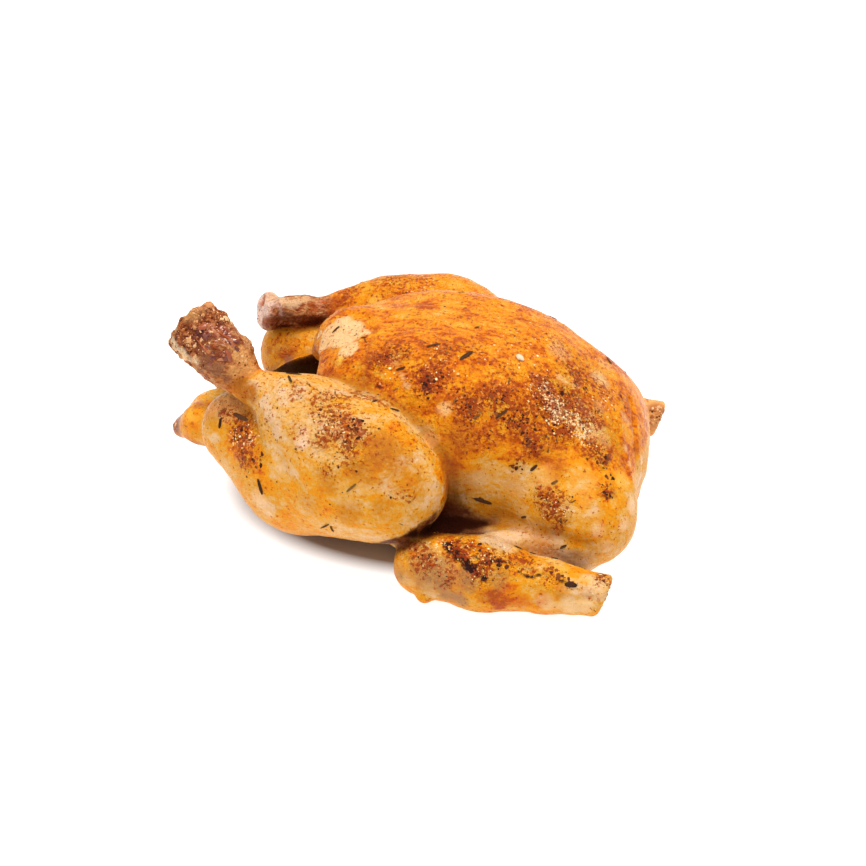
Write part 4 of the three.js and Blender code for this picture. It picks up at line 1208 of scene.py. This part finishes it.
# %% [markdown]
# ## Herbs, pepper and spice
# Dried herb flakes are thin, curled slivers a few millimetres long. One is modelled from a small grid that
# is tapered, curled and given a wall, and a copy of it lies at each of the solid's flakes. Pepper and spice
# are broken grains: one rough ball with twenty faces, strewn by the hundred where the spice lies, and
# pressed half into the skin.

# %% Laying small things on the skin
skin_tree = bvhtree.BVHTree.FromPolygons((points * MM).tolist(), quads.tolist())


def lay_on_skin(place_mm):
    """The nearest place on the skin and the direction that the skin faces there."""
    at, facing, _, _ = skin_tree.find_nearest(Vector(place_mm) * MM)
    return np.array(at) / MM, np.array(facing)


def frame_at(facing, lie):
    """Three unit directions: along the skin as near to lie as it goes, across it, and out of it."""
    along = lie - facing * (lie @ facing)
    if np.linalg.norm(along) < 1e-6:
        along = np.cross(facing, (0.3, 0.5, 0.8))
    along = unit(along)
    return np.stack([along, np.cross(facing, along), facing])


def base_of(obj):
    """The points and faces of a small model, in millimetres, and the model is removed."""
    shape = points_of(obj)
    faces = [list(face.vertices) for face in obj.data.polygons]
    bpy.data.objects.remove(obj)
    return shape, faces


def joined(name, model, copies, material, tones):
    """One piece from many copies, each its size, its three directions and its place in millimetres."""
    shape, faces = model
    all_points, all_faces = [], []
    for number, (size, directions, at) in enumerate(copies):
        all_points.append((shape * size) @ directions + at)
        all_faces += [[corner + number * len(shape) for corner in face] for face in faces]
    mesh = bpy.data.meshes.new(name)
    mesh.from_pydata((np.concatenate(all_points) * MM).tolist(), [], all_faces)
    keep(mesh, "tone", np.repeat(tones, len(shape)))
    mesh.materials.append(material)
    piece = bpy.data.objects.new(name, mesh)
    bpy.context.scene.collection.objects.link(piece)
    activate(piece)
    bpy.ops.object.shade_smooth_by_angle(angle=math.radians(50))
    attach(piece, "root")
    print(name, len(copies), "copies,", len(all_faces), "faces")


def toned_material(name, stops, roughness, size, specular=0.03):
    """A material whose colour follows each copy's tone, broken by noise of a size in millimetres."""
    material = new_material(name)
    spots = noise_of(node("TexCoord").outputs["Object"], size)
    tone = maths("ADD", mask_of("tone"), centred(spots, 0.6), clamp=True)
    give(shader, Base_Color=ramp(tone, stops), Roughness=roughness, Specular_IOR_Level=specular)
    bump(spots, 0.6, 0.2)
    return material


print("lay tools ready")

# %% A herb sliver
bpy.ops.object.select_all(action="DESELECT")
bpy.ops.mesh.primitive_grid_add(x_subdivisions=6, y_subdivisions=2, size=1 * MM)
sliver = bpy.context.object
shape = points_of(sliver)
shape[:, 1] *= 1 - (2 * shape[:, 0]) ** 4 * 0.8
shape[:, 2] = 0.22 * (2 * shape[:, 0]) ** 2 + 0.5 * np.abs(shape[:, 1])
write_points(sliver, shape)
wall = sliver.modifiers.new("Solidify", "SOLIDIFY")
wall.thickness = 0.3 * MM
apply_modifiers(sliver)
sliver_model = base_of(sliver)
print("sliver", len(sliver_model[1]), "faces")

# %% Lay the herbs
HERBS = [
    # the solid's flakes, from and to in its driving sizes, with their width and tone, 0 for black
    ((-67, -60, 64), (-61, -65, 66), 1.6, 0.3), ((-73, -60, 60), (-73, -62, 57), 1.2, 0.0),
    ((-48, -82, 44), (-46, -83, 39), 1.5, 0.0), ((-16, -86, 30), (-12, -89, 34), 0.7, 0.3),
    ((-11, -88, 33), (-11, -87, 29), 0.8, 0.2), ((-35, -14, 88), (-33, -12, 90), 0.9, 0.3),
    ((-18, -23, 91), (-16, -24, 92), 1.0, 0.3), ((5, -44, 88), (8, -43, 89), 1.0, 0.1),
    ((31, -8, 95), (32, -6, 95), 1.0, 0.3), ((45, -57, 36), (51, -56, 34), 1.5, 0.2),
    ((79, -57, 49), (81, -56, 50), 0.9, 0.5), ((65, -62, 31), (67, -62, 32), 0.9, 0.3),
    ((86, -69, 24), (88, -68, 25), 0.9, 0.2), ((84, -76, 23), (86, -74, 22), 1.0, 0.0),
    ((67, -73, 25), (70, -73, 25), 1.0, 0.1), ((74, -73, 24), (76, -74, 23), 1.0, 0.1),
    ((7, -60, 76), (10, -58, 76), 1.0, 0.2), ((-1, -61, 79), (0, -58, 79), 0.9, 0.2),
    ((-43, -53, 84), (-37, -54, 84), 1.1, 0.1), ((-41, -57, 84), (-38, -62, 84), 1.0, 0.1),
    ((32, -35, 93), (35, -30, 94), 1.7, 0.1), ((93, -88, 19), (97, -87, 19), 1.8, 0.05),
    ((16, -32, 95), (20, -29, 95), 1.0, 0.2), ((52, -50, 74), (55, -47, 76), 1.0, 0.2),
    ((69, -55, 53), (71, -54, 55), 1.1, 0.1), ((-2, -93, 53), (1, -92, 56), 0.9, 0.6),
    ((55, 42, 84), (59, 40, 84), 1.2, 0.2), ((15, 47, 88), (18, 49, 88), 1.0, 0.3),
    ((-35, 64, 76), (-31, 66, 76), 1.3, 0.1), ((85, 27, 70), (88, 24, 70), 1.0, 0.3),
    ((35, 94, 26), (40, 95, 25), 1.4, 0.1), ((75, 95, 22), (79, 94, 22), 1.1, 0.2),
    ((-60, 62, 50), (-56, 66, 48), 1.2, 0.2), ((-100, 6, 40), (-96, 8, 42), 1.1, 0.1),
]
copies = []
for start, end, width, _ in HERBS:
    at, facing = lay_on_skin(np.add(start, end) / 2 + SHIFT)
    lie = np.subtract(end, start)
    length = max(np.linalg.norm(lie), 2.4)
    copies.append(((length, width, 0.9), frame_at(facing, lie), at + 0.12 * facing))
HERB_TONES = [(0.0, (0.045, 0.020, 0.012)), (0.4, (0.12, 0.05, 0.02)), (1.0, (0.38, 0.19, 0.05))]
herb_material = toned_material("dried_herb", HERB_TONES, 0.65, 0.8)
joined("herb_flakes", sliver_model, copies, herb_material, [row[3] for row in HERBS])

# %% Strewing
draw = np.random.default_rng(7)
outward = np.cross(points[quads[:, 2]] - points[quads[:, 0]], points[quads[:, 3]] - points[quads[:, 1]])
area = np.linalg.norm(outward, axis=1) / 2
outward /= 2 * np.maximum(area, 1e-9)[:, None]


def strewn(number, mask, low, high, flat=0.55, sink=0.12):
    """Random copies on the skin, thick where the mask is high: their sizes, directions and places.

    They are low to high millimetres wide, flat times as thick, and lie sink of their size deep.
    """
    weight = area * mask[quads].mean(1)
    chosen = draw.choice(len(quads), number, p=weight / weight.sum())
    sizes = low + (high - low) * draw.random(number) ** 2
    laid = []
    for face, size in zip(chosen, sizes):
        share = draw.random(2)
        quad = points[quads[face]]
        at = lerp(lerp(quad[0], quad[1], share[0]), lerp(quad[3], quad[2], share[0]), share[1])
        stretch = size * (0.7 + 0.6 * draw.random(3)) * (1, 1, flat)
        directions = frame_at(outward[face], draw.normal(size=3))
        laid.append((stretch, directions, np.array(at) - sink * size * outward[face]))
    return laid


def rough_ball(subdivisions, roughness, seed):
    """A ball one millimetre wide with its corners pushed about."""
    bpy.ops.object.select_all(action="DESELECT")
    bpy.ops.mesh.primitive_ico_sphere_add(subdivisions=subdivisions, radius=0.5 * MM)
    ball = bpy.context.object
    bpy.ops.object.mode_set(mode="EDIT")
    bpy.ops.mesh.select_all(action="SELECT")
    bpy.ops.transform.vertex_random(offset=roughness * MM, seed=seed)
    bpy.ops.object.mode_set(mode="OBJECT")
    return base_of(ball)


def stretched(laid, shape):
    """The same copies, stretched along their own directions."""
    return [(size * shape, directions, at) for size, directions, at in laid]


print("quads to strew on", len(quads))

# %% Pepper and spice
clumped = spice * step(-0.15, 0.35, noise_field(7, 3, seed=31.0))
PEPPER_TONES = [(0.0, (0.030, 0.010, 0.006)), (0.5, (0.11, 0.028, 0.012)), (1.0, (0.26, 0.07, 0.02))]
pepper_material = toned_material("cracked_pepper", PEPPER_TONES, 0.6, 0.5)
grain_model = rough_ball(1, 0.12, 3)
COARSE = [
    (72, -52, 65, 7.6, 1), (69, -57, 54, 4.3, 1), (102, -42, 56, 5.7, 1), (106, -50, 48, 4.3, 1),
    (107, -56, 43, 2.8, 1), (88, -14, 74, 6.2, 0.8), (80, -32, 77, 5.7, 0.8), (76, -41, 75, 5.7, 0.7),
    (112, -16, 49, 2.8, 0.6), (1, -80, 76, 6.6, 0.9), (-1, -86, 72, 5.7, 0.7), (-12, -76, 79, 6.6, 0.4),
    (-56, -71, 56, 8.5, 0.9), (-45, -81, 52, 5.7, 0.7), (59, -92, 26, 8.5, 0.7), (69, -91, 24, 5.7, 0.6),
    (94, -88, 22, 5.7, 0.5), (112, -82, 21, 2.8, 1), (36, -93, 21, 5.7, 0.6), (45, -52, 79, 6.6, 0.6),
    (26, -50, 86, 7.6, 0.7), (55, -50, 77, 5.7, 0.5), (60, -44, 81, 5.7, 0.4), (102, -2, 64, 3.8, 0.6),
    (24, -89, 42, 3.8, 0.7),
]
laid = strewn(1100, clumped, 0.35, 1.4) + strewn(300, spice + 0.1, 0.35, 1.0)
laid += strewn(420, dabs(COARSE), 0.9, 2.4, flat=0.5, sink=0.1)
joined("pepper_grains", grain_model, laid, pepper_material, draw.random(len(laid)))

SPICE_TONES = [(0.0, (0.20, 0.025, 0.006)), (0.5, (0.50, 0.10, 0.012)), (1.0, (0.72, 0.30, 0.06))]
spice_material = toned_material("paprika_crumb", SPICE_TONES, 0.5, 0.5)
laid = strewn(1500, np.clip(clumped + 0.6 * brown, 0, 1.5), 0.4, 1.4)
joined("spice_grains", grain_model, laid, spice_material, draw.random(len(laid)))

laid = stretched(strewn(110, clumped, 0.6, 1.2, flat=0.8, sink=-0.1), (2.0, 0.5, 0.5))
joined("herb_crumbs", sliver_model, laid, herb_material, 0.2 + 0.5 * draw.random(len(laid)))

# %% [markdown]
# Coarse garlic granules lie among the pepper in a few places, pale as straw. They also stand in for small
# glints on the crisp skin.

# %% Garlic granules
GARLIC_TONES = [(0.0, (0.62, 0.36, 0.12)), (0.6, (0.84, 0.60, 0.28)), (1.0, (0.92, 0.78, 0.50))]
garlic_material = toned_material("garlic_granule", GARLIC_TONES, 0.35, 0.6)
laid = strewn(420, glitter, 0.5, 1.3, flat=0.6, sink=0.1)
joined("garlic_granules", grain_model, laid, garlic_material, draw.random(len(laid)))

# %% [markdown]
# ## Crumbs and sinews of the cut shank, and a pale seed
# Where the foot came off, the cut is a crust of crumbs of meat and cartilage, so small rough balls are
# packed over it. Glossy sinews run from it down the shank. One pale seed lies on the breast.

# %% Crumbs
CRUMB_TONES = [
    (0.0, (0.10, 0.02, 0.008)), (0.3, (0.36, 0.11, 0.035)),
    (0.65, (0.60, 0.28, 0.11)), (1.0, (0.80, 0.54, 0.28)),
]
crumb_material = toned_material("meat_crumb", CRUMB_TONES, 0.45, 0.9)
crumb_model = rough_ball(2, 0.13, 5)
crumbly = (cut_face + 0.2 * bare_left) * step(-0.25, 0.25, noise_field(6, 2, seed=41.0))
STUMPS = [
    (113, -86, 20, 6, 1), (113, -89, 16, 5, 0.8), (109, 80, 18, 8, 0.8), (108, 78, 12, 7, 0.8),
    (-120, -3, 21, 6, 0.7),
]
laid = strewn(1100, crumbly, 0.5, 1.9, flat=0.7, sink=0.15)
laid += strewn(110, dabs(STUMPS), 0.6, 2.4, flat=0.7, sink=0.1)
joined("shank_crumbs", grain_model, laid, crumb_material, draw.random(len(laid)))
lumpy = cut_face * step(-0.1, 0.2, noise_field(8, 1, seed=43.0))
laid = strewn(90, lumpy, 2.0, 4.6, flat=0.7, sink=0.2)
joined("shank_lumps", crumb_model, laid, crumb_material, 0.3 + 0.7 * draw.random(len(laid)))

# Wet lumps of dark meat beside the cut.
MEAT = [(-69, -58, 99, 9, 1), (-66, -59, 95, 8, 1), (-70, -62, 93, 7, 0.6), (-73, -58, 101, 6, 0.6)]
MEAT_TONES = [(0.0, (0.13, 0.02, 0.008)), (0.6, (0.32, 0.07, 0.022)), (1.0, (0.50, 0.20, 0.09))]
meat_material = toned_material("dark_meat", MEAT_TONES, 0.2, 1.4, specular=0.5)
laid = stretched(strewn(60, dabs(MEAT), 1.4, 4.0, flat=0.6, sink=0.15), (1.7, 0.75, 0.8))
joined("meat_lumps", crumb_model, laid, meat_material, draw.random(len(laid)))

# %% Sinews
SINEWS = [
    # radius and tone, then places along the shank
    (0.55, 0.4, [(-74, -58, 102), (-68, -56, 100), (-63, -57, 97), (-59, -58, 93)]),
    (0.45, 0.7, [(-69, -53, 103), (-65, -52, 100), (-61, -55, 97), (-58, -56, 93)]),
    (0.5, 0.2, [(-72, -62, 97), (-67, -63, 95), (-62, -62, 92)]),
    (0.45, 0.9, [(-77, -59, 104), (-73, -59, 102), (-70, -58, 100)]),
    (0.5, 0.3, [(-72, -46, 99), (-66, -46, 94), (-60, -48, 88)]),
    (0.4, 0.6, [(-78, -63, 99), (-73, -65, 95), (-68, -66, 90)]),
    (0.35, 0.8, [(-67, -60, 99), (-63, -60, 95), (-59, -60, 90)]),
]
SINEW_TONES = [(0.0, (0.14, 0.02, 0.008)), (0.5, (0.42, 0.09, 0.02)), (1.0, (0.62, 0.30, 0.14))]
sinew_material = toned_material("glossy_sinew", SINEW_TONES, 0.15, 1.0)


def sinew_tube(radius, line):
    """A round-ended tube laid along the skin, as a small model."""
    bpy.ops.curve.primitive_nurbs_path_add()
    path = bpy.context.object
    spline = path.data.splines[0]
    path.data.bevel_depth = radius * MM
    path.data.bevel_resolution = 2
    path.data.use_fill_caps = True
    path.data.resolution_u = 4
    places = [lay_on_skin(place)[0] for place in line]
    steps = np.linspace(0, len(places) - 1, len(spline.points))
    for point, at in zip(spline.points, steps):
        first = min(int(at), len(places) - 2)
        x, y, z = lerp(places[first], places[first + 1], at - first)
        point.co = (x * MM, y * MM, z * MM, 1)
        point.radius = 0.35 if point in (spline.points[0], spline.points[-1]) else 1
    activate(path)
    bpy.ops.object.convert(target="MESH")
    return bpy.context.object


tubes = [sinew_tube(radius, line) for radius, _, line in SINEWS]
for tube, (_, tone_of, _) in zip(tubes, SINEWS):
    keep(tube.data, "tone", np.full(len(tube.data.vertices), tone_of))
    tube.data.materials.append(sinew_material)
bpy.ops.object.select_all(action="DESELECT")
for tube in tubes:
    tube.select_set(True)
bpy.context.view_layer.objects.active = tubes[0]
bpy.ops.object.join()
sinews_piece = bpy.context.object
sinews_piece.name = "shank_sinews"
bpy.ops.object.transform_apply(location=True, rotation=True, scale=True)
bpy.ops.object.shade_smooth()
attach(sinews_piece, "root")
print("sinews", len(sinews_piece.data.vertices), "points")

# %% Seed
at, facing = lay_on_skin((60, -24, 91))
SEED_TONES = [(0.0, (0.55, 0.36, 0.2)), (1.0, (0.80, 0.62, 0.42))]
seed_material = toned_material("pale_seed", SEED_TONES, 0.35, 1.2)
laid = [(np.array((4.4, 3.0, 1.8)), frame_at(facing, np.array((0.7, -0.5, 0))), at + 0.5 * facing)]
joined("pale_seed", crumb_model, laid, seed_material, [0.7])

# %% Measure how far the pieces reach beyond the solid
visual_low, visual_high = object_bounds()
grown = (*(cad_low - visual_low), *(visual_high - cad_high))
print("grown by", [round(value / MM, 1) for value in grown], "mm")
